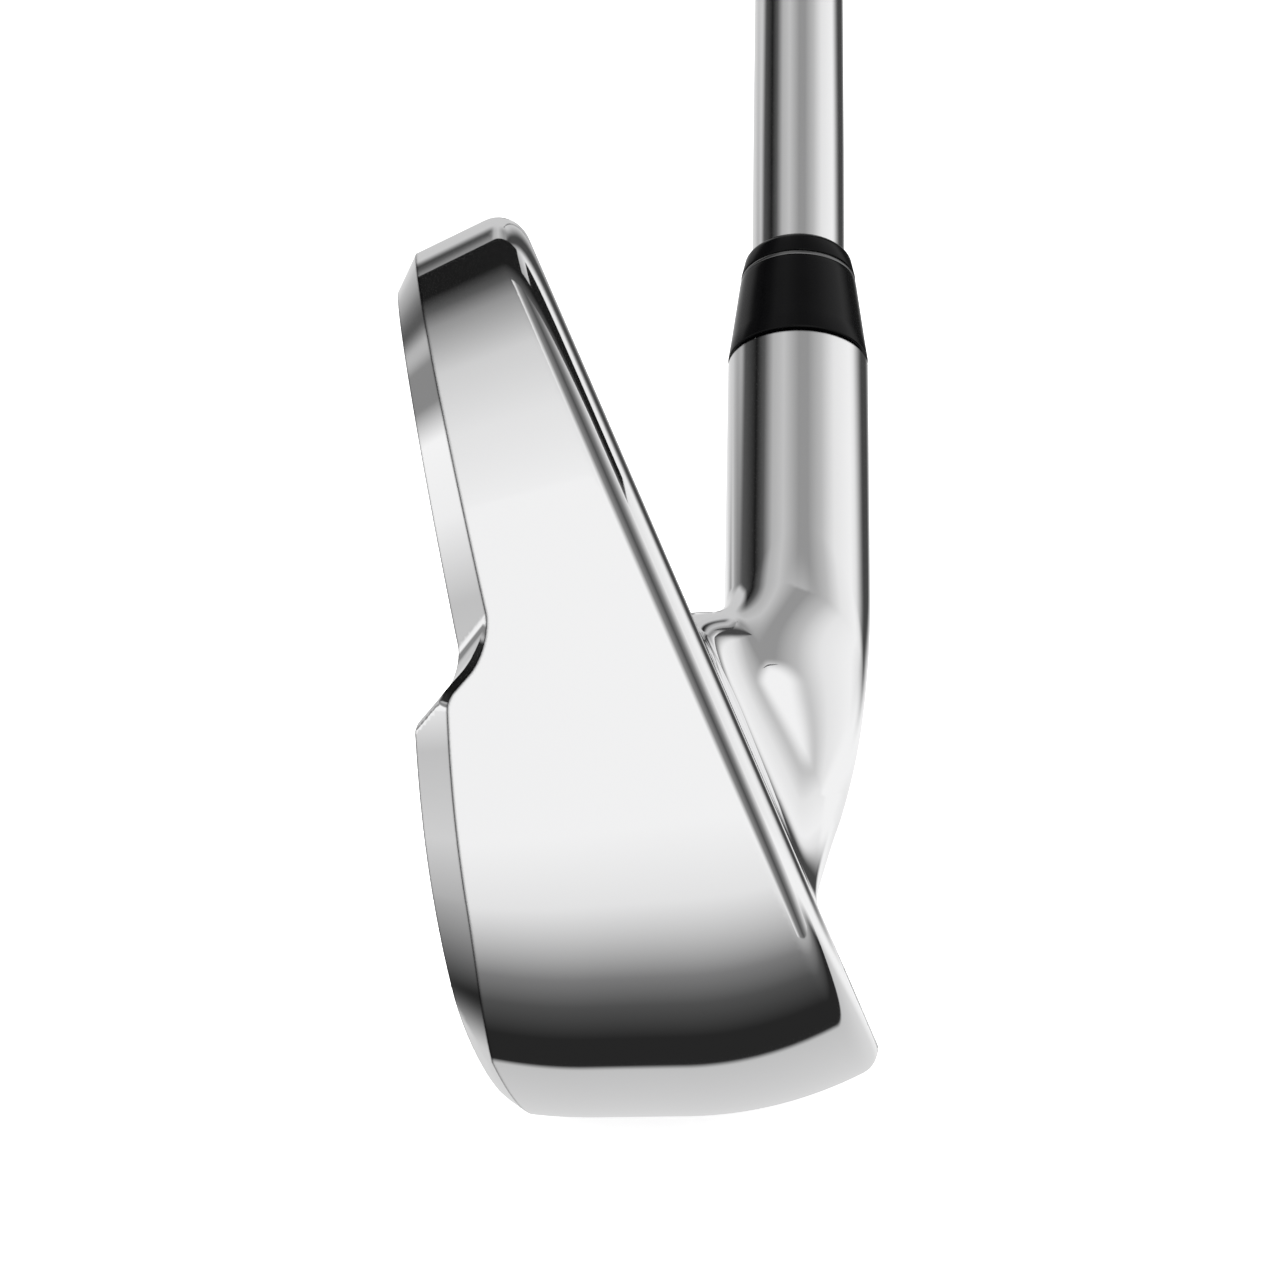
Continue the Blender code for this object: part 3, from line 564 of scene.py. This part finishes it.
def field_piece(name, field, low, high, replaced, material):
    """A piece whose surface is a field's, with its corner normals."""
    points, quads, normals = mesh_field(field, np.array(low), np.array(high), CELL)
    mesh = bpy.data.meshes.new(name)
    mesh.from_pydata((points * MM).tolist(), [], quads.tolist())
    mesh.shade_smooth()
    mesh.normals_split_custom_set(normals.tolist())
    return add_piece(name, mesh, replaced, material)


def plate_field(points):
    """Face plate filling its pocket but for a hairline, with rounded-bottom score lines."""
    x, y, z = points.T
    face = face_distance(x, z)
    height = facing_height(face, z)
    plate = polygon_distance(PLATE_EDGE, y, height) + PLATE_SEAM
    plate = np.maximum(np.maximum(plate, face), -(face + PLATE_DEPTH - 0.2))
    up = height / math.cos(LOFT)
    number = np.clip(np.rint((up - SCORE_FIRST) / SCORE_PITCH), 0, SCORE_COUNT - 1)
    across = np.abs(up - SCORE_FIRST - number * SCORE_PITCH)
    line_height = (SCORE_FIRST + number * SCORE_PITCH) * math.cos(LOFT)
    heel_end = np.minimum(SCORE_HEEL, (SCORE_TOP - line_height) / SCORE_TOPLINE_SLOPE)
    beyond = np.maximum(np.maximum(y - heel_end, SCORE_TOE - y), 0.0)
    groove = np.hypot(np.hypot(across, beyond), face) - SCORE_WIDTH / 2
    return np.maximum(plate, -groove)


def badge_field(points):
    """Plain badge with a raised border, on the floor of the rear cavity."""
    x, y, z = points.T
    face = face_distance(x, z)
    edge = polygon_distance(CAVITY_EDGE, y, facing_height(face, z)) + BADGE_INSET
    back = -(face + BADGE_BACK)
    badge = round_meet(np.maximum(edge, face + BADGE_FRONT), back, 0.35)
    return np.maximum(badge, -np.maximum(edge + BADGE_BORDER, -(back + BADGE_RELIEF)))


def axis_frame():
    turn = AXIS.to_track_quat("Z", "X").to_matrix().to_4x4()
    return Matrix.Translation(AXIS_FOOT) @ turn


def round_mesh(name, profile, sides, closed=True, sharp=28.0, relief=None):
    """Turn a (radius, distance along the axis) profile in millimetres about the shaft axis."""
    profile = np.array(profile, float)
    angle = np.arange(sides) / sides * math.tau
    radius = np.repeat(profile[:, :1], sides, axis=1)
    along = np.repeat(profile[:, 1:], sides, axis=1)
    if relief is not None:
        radius = radius - relief(angle[None, :], along)
    points = np.stack([radius * np.cos(angle), radius * np.sin(angle), along], axis=-1)
    rows = len(profile)
    index = np.arange(rows * sides).reshape(rows, sides)
    following = np.roll(index, -1, axis=0) if closed else index[1:]
    here = index if closed else index[:-1]
    quads = np.stack([here, np.roll(here, -1, axis=1), np.roll(following, -1, axis=1), following],
                     axis=-1)
    faces = quads.reshape(-1, 4).tolist()
    mesh = bpy.data.meshes.new(name)
    mesh.from_pydata((points.reshape(-1, 3) * MM).tolist(), [], faces)
    mesh.transform(axis_frame())
    mesh.shade_smooth()
    mesh.set_sharp_from_angle(angle=math.radians(sharp))
    return mesh


def corner_arc(centre, radius, start, end, count=8):
    """(radius, along) points on an arc, angles in degrees from straight out towards the butt."""
    angles = np.radians(np.linspace(start, end, count))
    return [(centre[0] + radius * math.cos(a), centre[1] + radius * math.sin(a)) for a in angles]


def shaft_profile():
    """Stepped tube from tip to butt, outside then back down its bore."""
    corners = [(TIP_RADIUS, TIP_START), (PARALLEL_RADIUS, PARALLEL_START)]
    radius = PARALLEL_RADIUS
    for index in range(STEP_COUNT):
        distance = STEP_FIRST + STEP_PITCH * index
        corners += [(radius, distance - 0.4), (radius, distance)]
        radius += STEP_GROWTH
        corners += [(radius, distance + STEP_LENGTH), (radius, distance + STEP_LENGTH + 0.4)]
    corners.append((radius, SHAFT_END))
    inner = [(radius - SHAFT_WALL, SHAFT_END), (PARALLEL_RADIUS - SHAFT_WALL, PARALLEL_START),
             (TIP_RADIUS - SHAFT_WALL, TIP_START)]
    return corners + inner


def ferrule_profile():
    """Tapered collar: round shoulder, sunk seat for the ring near its top, straight bore."""
    slope = (FERRULE_TOP_RADIUS - HOSEL_RADIUS) / FERRULE_LENGTH
    base = FERRULE_START
    outside = [(HOSEL_RADIUS - 0.12, base)]
    outside += corner_arc((HOSEL_RADIUS - 0.15, base + 0.15), 0.15, -80, 0, 5)

    def taper(height):
        return HOSEL_RADIUS + slope * height

    for height in (2.0, 5.0, RING_START - 0.6):
        outside.append((taper(height), base + height))
    outside += corner_arc((taper(RING_START) - 0.1, base + RING_START - 0.1), 0.1, 0, 90, 4)
    outside.append((taper(RING_START) - RING_SEAT, base + RING_START))
    end = RING_START + RING_WIDTH
    outside.append((taper(end) - RING_SEAT, base + end))
    outside += corner_arc((taper(end) - 0.1, base + end + 0.1), 0.1, -90, 0, 4)
    outside += corner_arc((taper(FERRULE_LENGTH) - 1.0, base + FERRULE_LENGTH - 1.0), 1.0, 5, 62, 12)
    top = outside[-1][1]
    return outside + [(FERRULE_BORE + 0.1, top + 0.05), (FERRULE_BORE, top), (FERRULE_BORE, base)]


def ring_profile():
    slope = (FERRULE_TOP_RADIUS - HOSEL_RADIUS) / FERRULE_LENGTH
    low = FERRULE_START + RING_START + 0.06
    high = FERRULE_START + RING_START + RING_WIDTH - 0.06
    out_low = HOSEL_RADIUS + slope * RING_START - 0.04
    out_high = HOSEL_RADIUS + slope * (RING_START + RING_WIDTH) - 0.04
    middle = ((out_low + out_high) / 2 + 0.03, (low + high) / 2)
    return [(out_low, low + 0.05), middle, (out_high, high - 0.05), (out_high - 0.05, high),
            (out_high - RING_SEAT + 0.1, high), (out_low - RING_SEAT + 0.1, low), (out_low - 0.05, low)]


def grip_relief(angle, along):
    """How deep the moulded pattern is cut into the grip, in millimetres."""
    share = (along - GRIP_MOUTH) / (GRIP_CAP - GRIP_MOUTH)
    zone = smooth(share, 0.03, 0.045) * (1.0 - smooth(share, 0.955, 0.97))
    plain = 0.0
    for centre in (0.33, 0.66):
        plain = np.maximum(plain, 1.0 - smooth(np.abs(share - centre), 0.012, 0.018))
    zone = zone * (1.0 - plain)
    turns = angle / math.tau * GRIP_DIAMONDS
    climb = along / GRIP_DIAMOND_PITCH
    first = np.abs((turns + climb) % 1.0 - 0.5)
    second = np.abs((turns - climb) % 1.0 - 0.5)
    lattice = np.maximum(1.0 - smooth(first, 0.05, 0.17), 1.0 - smooth(second, 0.05, 0.17))
    rings = 0.0
    for place in (0.012, 0.02, 0.978, 0.986):
        rings = np.maximum(rings, 1.0 - smooth(np.abs(share - place), 0.0009, 0.0022))
    return GRIP_RELIEF * lattice * zone + 0.28 * rings


def grip_relief_outside(angle, along):
    """The pattern on the outside of the grip only: the profile's last two rows are its bore."""
    cut = grip_relief(angle, along)
    cut[-2:] = 0.0
    return cut


def grip_profile():
    length = GRIP_CAP - GRIP_MOUTH
    outside = corner_arc((GRIP_MOUTH_RADIUS - 0.7, GRIP_MOUTH + 0.7), 0.7, -85, 0, 6)
    for share in np.linspace(0.006, 1.0, GRIP_RINGS):
        outside.append((GRIP_MOUTH_RADIUS + GRIP_SPREAD * share ** 1.15, GRIP_MOUTH + length * share))
    return outside + [(GRIP_BORE, GRIP_CAP), (GRIP_BORE, GRIP_MOUTH)]


def cap_profile():
    radius = GRIP_MOUTH_RADIUS + GRIP_SPREAD
    start = GRIP_CAP + 0.3
    top = CLUB_LENGTH
    outside = [(radius - 0.15, start), (radius, start + 0.2)]
    outside += corner_arc((radius - 2.2, top - 2.2), 2.2, 0, 88, 12)
    outside += [(8.0, top), (7.8, top - 0.25), (7.2, top - 0.25), (7.0, top)]
    outside += [(VENT_RADIUS + 0.9, top), (VENT_RADIUS, top - 0.5)]
    return outside + [(VENT_RADIUS, start)]


def band_profile():
    radius = PARALLEL_RADIUS + STEP_GROWTH * (BAND_STEP + 1)
    start = STEP_FIRST + STEP_PITCH * BAND_STEP + STEP_LENGTH + 3.0
    inside = radius + 0.06
    outside = radius + 0.2
    return [(inside, start), (outside - 0.05, start), (outside, start + 0.1),
            (outside, start + BAND_LENGTH - 0.1), (outside - 0.05, start + BAND_LENGTH),
            (inside, start + BAND_LENGTH)]


# ---------------------------------------------------------------- materials

# Painted dark edge line: shade painted into the chrome's base colour where the surface turns at an edge.
PAINTED_EDGE_LINE_START = 0.998             # cosine of the turn in the surface at which the edge line begins
PAINTED_EDGE_LINE_FULL = 0.97
PAINTED_EDGE_LINE_GREY = 0.06


def new_material(name, colour, roughness, metallic=0.0, coat=0.0):
    """Principled material with its nodes, links and shader."""
    material = bpy.data.materials.new(name)
    material.use_nodes = True
    nodes = material.node_tree.nodes
    shader = nodes["Principled BSDF"]
    shader.inputs["Base Color"].default_value = (*colour, 1.0)
    shader.inputs["Roughness"].default_value = roughness
    shader.inputs["Metallic"].default_value = metallic
    shader.inputs["Coat Weight"].default_value = coat
    return material, shader


def add_noise(material, scale, stretch=(1.0, 1.0, 1.0), detail=3.0):
    """Noise read in the object's own coordinates, stretched along its axes."""
    nodes, links = material.node_tree.nodes, material.node_tree.links
    place = nodes.new("ShaderNodeTexCoord")
    mapping = nodes.new("ShaderNodeMapping")
    mapping.inputs["Scale"].default_value = stretch
    noise = nodes.new("ShaderNodeTexNoise")
    noise.inputs["Scale"].default_value = scale
    noise.inputs["Detail"].default_value = detail
    links.new(place.outputs["Object"], mapping.inputs["Vector"])
    links.new(mapping.outputs["Vector"], noise.inputs["Vector"])
    return noise.outputs["Fac"]


def vary(material, shader, socket, source, low, high):
    """Drive a number of the shader between two values."""
    nodes, links = material.node_tree.nodes, material.node_tree.links
    ramp = nodes.new("ShaderNodeMapRange")
    ramp.inputs["From Min"].default_value = 0.3
    ramp.inputs["From Max"].default_value = 0.7
    ramp.inputs["To Min"].default_value = low
    ramp.inputs["To Max"].default_value = high
    links.new(source, ramp.inputs["Value"])
    links.new(ramp.outputs["Result"], shader.inputs[socket])


def vary_colour(material, shader, source, low, high):
    nodes, links = material.node_tree.nodes, material.node_tree.links
    ramp = nodes.new("ShaderNodeValToRGB")
    ramp.color_ramp.elements[0].position = 0.35
    ramp.color_ramp.elements[0].color = (*low, 1.0)
    ramp.color_ramp.elements[1].position = 0.65
    ramp.color_ramp.elements[1].color = (*high, 1.0)
    links.new(source, ramp.inputs["Fac"])
    links.new(ramp.outputs["Color"], shader.inputs["Base Color"])


def add_bump(material, shader, source, strength, distance):
    nodes, links = material.node_tree.nodes, material.node_tree.links
    bump = nodes.new("ShaderNodeBump")
    bump.inputs["Strength"].default_value = strength
    bump.inputs["Distance"].default_value = distance
    links.new(source, bump.inputs["Height"])
    links.new(bump.outputs["Normal"], shader.inputs["Normal"])


def grey(value):
    return (value, value, value * 1.005)


def paint_dark_edge_line(material, shader, radius):
    """Painted dark line where two polished surfaces meet at an edge: shade painted into the base colour,
    standing in for the dark reflection in a tiny rounding.
    """
    nodes, links = material.node_tree.nodes, material.node_tree.links
    bevel = nodes.new("ShaderNodeBevel")
    bevel.samples = 8
    bevel.inputs["Radius"].default_value = radius
    shape = nodes.new("ShaderNodeNewGeometry")
    dot = nodes.new("ShaderNodeVectorMath")
    dot.operation = "DOT_PRODUCT"
    span = nodes.new("ShaderNodeMapRange")
    span.inputs["From Min"].default_value = PAINTED_EDGE_LINE_START
    span.inputs["From Max"].default_value = PAINTED_EDGE_LINE_FULL
    # The painted shade: the base colour mixes to dark grey where the bevel's normal turns away from the
    # surface's.
    painted_line = nodes.new("ShaderNodeMix")
    painted_line.data_type = "RGBA"
    plain = shader.inputs["Base Color"].links[0].from_socket
    links.new(bevel.outputs["Normal"], dot.inputs[0])
    links.new(shape.outputs["Normal"], dot.inputs[1])
    links.new(dot.outputs["Value"], span.inputs["Value"])
    links.new(span.outputs["Result"], painted_line.inputs["Factor"])
    links.new(plain, painted_line.inputs["A"])
    painted_line.inputs["B"].default_value = (*grey(PAINTED_EDGE_LINE_GREY), 1.0)
    links.new(painted_line.outputs["Result"], shader.inputs["Base Color"])


def chrome(name, colour, rough_low, rough_high, edge=0.0):
    material, shader = new_material(name, grey(colour), rough_low, metallic=1.0)
    cloud = add_noise(material, 70.0)
    vary(material, shader, "Roughness", cloud, rough_low, rough_high)
    vary_colour(material, shader, add_noise(material, 24.0), grey(colour - 0.012), grey(colour))
    # Painted dark line along the edges, shade painted into the base colour.
    if edge:
        paint_dark_edge_line(material, shader, edge)
    return material


def satin_steel():
    """Blasted face steel: fine grain in colour, roughness and bump."""
    material, shader = new_material("satin_face", grey(0.62), 0.28, metallic=1.0)
    grain = add_noise(material, 5200.0)
    vary(material, shader, "Roughness", grain, 0.24, 0.36)
    vary_colour(material, shader, add_noise(material, 420.0), grey(0.58), grey(0.66))
    add_bump(material, shader, grain, 0.25, 0.00004)
    return material


def plastic(name, colour, rough_low, rough_high, coat, scale=260.0, bump=0.0, shine=0.5):
    material, shader = new_material(name, colour, rough_low, coat=coat)
    shader.inputs["Specular IOR Level"].default_value = shine
    shader.inputs["Coat Roughness"].default_value = 0.03
    cloud = add_noise(material, scale)
    vary(material, shader, "Roughness", cloud, rough_low, rough_high)
    dark = tuple(channel * 0.85 for channel in colour)
    vary_colour(material, shader, cloud, dark, colour)
    if bump:
        add_bump(material, shader, add_noise(material, scale * 6.0), bump, 0.0001)
    return material


def brushed(name, value, rough, stretch):
    """Metal with fine lines, finer across than along."""
    material, shader = new_material(name, grey(value), rough, metallic=1.0)
    lines = add_noise(material, 300.0, stretch)
    vary(material, shader, "Roughness", lines, rough - 0.06, rough + 0.08)
    vary_colour(material, shader, lines, grey(value * 0.9), grey(value))
    add_bump(material, shader, lines, 0.08, 0.00003)
    return material


# The head chrome carries a painted dark edge line: shade painted into its base colour.
CHROME = chrome("head_chrome", 0.96, 0.035, 0.06, edge=0.0003)
SHAFT_CHROME = chrome("tube_chrome", 0.95, 0.05, 0.08)
SATIN = satin_steel()
FERRULE_BLACK = plastic("ferrule_black", (0.002, 0.002, 0.0022), 0.08, 0.13, 0.0, shine=0.13)
RING = brushed("trim_ring", 0.2, 0.24, (1.0, 1.0, 8.0))
RUBBER = plastic("moulded_rubber", (0.018, 0.018, 0.018), 0.62, 0.8, 0.0, 500.0, 0.3)
CAP_RUBBER = plastic("cap_rubber_fine", (0.015, 0.015, 0.015), 0.5, 0.66, 0.0, 700.0, 0.2)
BADGE = brushed("badge_satin", 0.16, 0.3, (1.0, 12.0, 1.0))
FILM = plastic("band_silver", (0.45, 0.46, 0.48), 0.22, 0.34, 0.4, 300.0)
TAPE = plastic("paper_tape", (0.62, 0.58, 0.48), 0.75, 0.9, 0.0, 900.0, 0.4)
FOAM = plastic("foam_tape", (0.09, 0.09, 0.095), 0.85, 0.95, 0.0, 1500.0, 0.6)
RESIN = plastic("cured_resin", (0.42, 0.36, 0.2), 0.3, 0.45, 0.2, 400.0)
CORK = plastic("tip_cork", (0.45, 0.32, 0.18), 0.7, 0.85, 0.0, 900.0, 0.5)
HEAVY = brushed("sintered_weight", 0.3, 0.4, (1.0, 1.0, 1.0))
POLYMER = plastic("soft_polymer", (0.03, 0.03, 0.034), 0.6, 0.75, 0.0, 600.0, 0.2)


# ---------------------------------------------------------------- pieces

field_piece("head_forged", head_field, (-16.2, -41.5, -0.9), (24.0, 76.0, 62.5),
            ["head_body"], CHROME)
field_piece("face_insert", plate_field, (-10.5, -39.0, 3.0), (17.5, 24.0, 60.0),
            ["face_plate"], SATIN)
field_piece("rear_badge", badge_field, (-16.0, -37.0, 34.0), (2.0, 19.0, 56.0),
            ["cavity_badge"], BADGE)
add_piece("shaft_tube", round_mesh("shaft_tube", shaft_profile(), 192),
          ["shaft"], SHAFT_CHROME)
add_piece("ferrule_collar", round_mesh("ferrule_collar", ferrule_profile(), 192),
          ["ferrule"], FERRULE_BLACK)
add_piece("ferrule_trim", round_mesh("ferrule_trim", ring_profile(), 192, sharp=50.0),
          ["ferrule_ring"], RING)
add_piece("band_wrap", round_mesh("band_wrap", band_profile(), 128),
          ["shaft_band"], FILM)
add_piece("grip_moulding", round_mesh("grip_moulding", grip_profile(), GRIP_SIDES, sharp=60.0,
                                      relief=grip_relief_outside),
          ["grip_sleeve"], RUBBER)
add_piece("grip_end", round_mesh("grip_end", cap_profile(), 128),
          ["grip_cap"], CAP_RUBBER)

for node, material in (("toe_weight", HEAVY), ("damping_insert", POLYMER), ("badge_tape", FOAM),
                       ("tip_plug", CORK), ("hosel_epoxy", RESIN), ("grip_tape", TAPE)):
    bpy.data.objects[node].material_slots[0].material = material


# ---------------------------------------------------------------- stage

FLOOR_HALF = 6.0
FLOOR_DROP = 0.0002                 # keeps the floor clear of the sole
FLOOR_GLOW = 0.7
WORLD_WHITE = 1.7                   # brightness that everything but a reflection sees


def build_floor():
    mesh = bpy.data.meshes.new("floor")
    half = FLOOR_HALF
    corners = [(-half, -half, 0), (half, -half, 0), (half, half, 0), (-half, half, 0)]
    mesh.from_pydata(corners, [], [(0, 1, 2, 3)])
    floor = bpy.data.objects.new("floor", mesh)
    floor.location.z = -FLOOR_DROP
    bpy.context.collection.objects.link(floor)
    material, shader = new_material("floor_white", (0.9, 0.9, 0.9), 0.9)
    shader.inputs["Emission Color"].default_value = (1.0, 1.0, 1.0, 1.0)
    shader.inputs["Emission Strength"].default_value = FLOOR_GLOW
    mesh.materials.append(material)
    floor.visible_glossy = False


def add_ramp(nodes, stops):
    """Colour ramp through (place, brightness) stops, and the span its factor covers."""
    places = [place for place, _ in stops]
    low, high = min(places), max(places)
    ramp = nodes.new("ShaderNodeValToRGB").color_ramp
    while len(ramp.elements) < len(stops):
        ramp.elements.new(0.5)
    for element, (place, _) in zip(ramp.elements, sorted(stops)):
        element.position = (place - low) / (high - low)
    for element, (_, value) in zip(ramp.elements, sorted(stops)):
        element.color = (value, value, value, 1.0)
    return nodes[-1], low, high


def build_card(name, sheets, along, stops, reach=None):
    """Graded card that only reflections see, brightness set along a direction in millimetres.

    With a reach it is clear to anything further away than that.
    """
    mesh = bpy.data.meshes.new(name)
    corners = [Vector(corner) * MM for sheet in sheets for corner in sheet]
    faces = [tuple(range(start, start + 4)) for start in range(0, len(corners), 4)]
    mesh.from_pydata(corners, [], faces)
    card = bpy.data.objects.new(name, mesh)
    bpy.context.collection.objects.link(card)
    material = bpy.data.materials.new(name)
    material.use_nodes = True
    nodes, links = material.node_tree.nodes, material.node_tree.links
    nodes.clear()
    place = nodes.new("ShaderNodeTexCoord")
    dot = nodes.new("ShaderNodeVectorMath")
    dot.operation = "DOT_PRODUCT"
    dot.inputs[1].default_value = along
    span = nodes.new("ShaderNodeMapRange")
    ramp, low, high = add_ramp(nodes, stops)
    glow = nodes.new("ShaderNodeEmission")
    out = nodes.new("ShaderNodeOutputMaterial")
    span.inputs["From Min"].default_value = low * MM
    span.inputs["From Max"].default_value = high * MM
    links.new(place.outputs["Object"], dot.inputs[0])
    links.new(dot.outputs["Value"], span.inputs["Value"])
    links.new(span.outputs["Result"], ramp.inputs["Fac"])
    links.new(ramp.outputs["Color"], glow.inputs["Color"])
    if reach is None:
        links.new(glow.outputs["Emission"], out.inputs["Surface"])
    else:
        path = nodes.new("ShaderNodeLightPath")
        close = nodes.new("ShaderNodeMath")
        close.operation = "LESS_THAN"
        close.inputs[1].default_value = reach * MM
        choose = nodes.new("ShaderNodeMixShader")
        clear = nodes.new("ShaderNodeBsdfTransparent")
        links.new(path.outputs["Ray Length"], close.inputs[0])
        links.new(close.outputs["Value"], choose.inputs["Fac"])
        links.new(clear.outputs["BSDF"], choose.inputs[1])
        links.new(glow.outputs["Emission"], choose.inputs[2])
        links.new(choose.outputs["Shader"], out.inputs["Surface"])
    mesh.materials.append(material)
    card.visible_camera = False
    card.visible_diffuse = False
    card.visible_shadow = False
    card.visible_transmission = False


def build_cards():
    far, near = TOP_CARD[-1][0], TOP_CARD[0][0]
    left, slot_left, slot_right, right = TOP_CARD_SIDES
    sheets = []
    for low_x, high_x, end in ((left, slot_left, near), (slot_left, slot_right, TOP_CARD_SLOT),
                               (slot_right, right, near)):
        sheets.append([(low_x, far, TOP_CARD_HEIGHT), (high_x, far, TOP_CARD_HEIGHT),
                       (high_x, end, TOP_CARD_HEIGHT), (low_x, end, TOP_CARD_HEIGHT)])
    build_card("card_over_toe", sheets[:1], (0.0, 1.0, 0.0), TOP_CARD)
    build_card("card_over_face", sheets[1:], (0.0, 1.0, 0.0), FACE_CARD, FACE_CARD_REACH)
    slope = math.tan(LOFT)
    foot = FACE_FOOT + slope * EDGE_CARD_LIFT
    first, last = EDGE_CARD[0][0], EDGE_CARD[-1][0]
    low, high = EDGE_CARD_HEIGHTS
    sheet = []
    for ahead, height in ((first, low), (last, low), (last, high), (first, high)):
        sheet.append((foot - slope * height + ahead, EDGE_CARD_Y, height))
    stops = [(foot + ahead, value) for ahead, value in EDGE_CARD]
    build_card("card_before_edge", [sheet], (1.0, 0.0, slope), stops, EDGE_CARD_REACH)


def build_world():
    """White studio whose reflections fall off into graded dark bands."""
    world = bpy.data.worlds.new("studio")
    bpy.context.scene.world = world
    world.use_nodes = True
    tree = world.node_tree
    nodes, links = tree.nodes, tree.links
    background = nodes["Background"]
    place = nodes.new("ShaderNodeTexCoord")
    split = nodes.new("ShaderNodeSeparateXYZ")
    links.new(place.outputs["Generated"], split.inputs["Vector"])
    x, y, z = (split.outputs[axis] for axis in "XYZ")

    def math_node(operation, a, b=None):
        node = nodes.new("ShaderNodeMath")
        node.operation = operation
        for socket, value in zip(node.inputs, (a, b)):
            if value is None:
                continue
            if isinstance(value, (int, float)):
                socket.default_value = value
            else:
                links.new(value, socket)
        return node.outputs[0]

    def map_range(value, low, high, soft=True):
        """0 at low to 1 at high."""
        node = nodes.new("ShaderNodeMapRange")
        if soft:
            node.interpolation_type = "SMOOTHSTEP"
        node.inputs["From Min"].default_value = low
        node.inputs["From Max"].default_value = high
        links.new(value, node.inputs["Value"])
        return node.outputs["Result"]

    def mix(mask, under, over):
        node = nodes.new("ShaderNodeMix")
        node.data_type = "FLOAT"
        for socket, value in (("Factor", mask), ("A", under), ("B", over)):
            if isinstance(value, float):
                node.inputs[socket].default_value = value
            else:
                links.new(value, node.inputs[socket])
        return node.outputs["Result"]

    def graded(angle, stops):
        ramp, low, high = add_ramp(nodes, stops)
        share = map_range(angle, math.radians(low), math.radians(high), soft=False)
        links.new(share, ramp.inputs["Fac"])
        return ramp.outputs["Color"]

    depth = math_node("MULTIPLY", math_node("SUBTRACT", 1.0, y), ROLL_DEPTH)
    depth = math_node("SUBTRACT", depth, math_node("MULTIPLY", z, ROLL_TILT))
    roll = math_node("ARCTAN2", x, depth)
    over = math_node("MULTIPLY", map_range(y, -0.86, -0.62), map_range(z, 0.0, 0.1))
    light = mix(over, STUDIO_WHITE, graded(roll, ROLL))
    behind = math_node("MULTIPLY", map_range(y, 0.35, 0.6), map_range(z, 0.25, 0.4))
    light = mix(behind, light, BEHIND)
    pitch = math_node("ARCTAN2", z, math_node("MULTIPLY", y, -1.0))
    under = map_range(z, -0.12, -0.3)
    light = mix(under, light, graded(pitch, PITCH))
    side = math_node("MULTIPLY", map_range(x, -0.5, -0.72), map_range(z, 0.22, 0.13))
    light = mix(side, light, graded(math_node("ARCSINE", z), SIDE))
    centre, half, soft, value = STRIP
    azimuth = math_node("ARCTAN2", y, x)
    off = math_node("ABSOLUTE", math_node("SUBTRACT", azimuth, math.radians(centre)))
    strip = map_range(off, math.radians(half + soft), math.radians(half))
    strip = math_node("MULTIPLY", strip, map_range(z, -0.1, 0.05))
    light = mix(strip, light, value)

    ray = nodes.new("ShaderNodeLightPath")
    background.inputs["Color"].default_value = (1.0, 1.0, 1.0, 1.0)
    shown = mix(ray.outputs["Is Glossy Ray"], WORLD_WHITE, light)
    links.new(shown, background.inputs["Strength"])


CAMERA_LENS = 71.72
CAMERA_HEADING = math.radians(3.19)  # direction from the camera to the shaft's foot, about Z
CAMERA_REACH = 0.2245                # metres from the shaft's foot, level
CAMERA_HEIGHT = 0.0403
CAMERA_TILT = math.radians(2.5)      # how far it looks down
CAMERA_TURN = math.radians(0.34)


def build_camera():
    camera = bpy.data.cameras.new("camera")
    camera.sensor_width = 36.0
    camera.lens = CAMERA_LENS
    camera.clip_start = 0.01
    camera.clip_end = 50.0
    item = bpy.data.objects.new("camera", camera)
    back_x = -math.sin(CAMERA_HEADING) * CAMERA_REACH
    back_y = -math.cos(CAMERA_HEADING) * CAMERA_REACH
    item.location = AXIS_FOOT + Vector((back_x, back_y, CAMERA_HEIGHT))
    item.rotation_euler = (math.radians(90.0) - CAMERA_TILT, 0.0, CAMERA_TURN)
    bpy.context.collection.objects.link(item)
    bpy.context.scene.camera = item


build_floor()
build_cards()
build_world()
build_camera()
bpy.context.scene.view_settings.view_transform = "Standard"
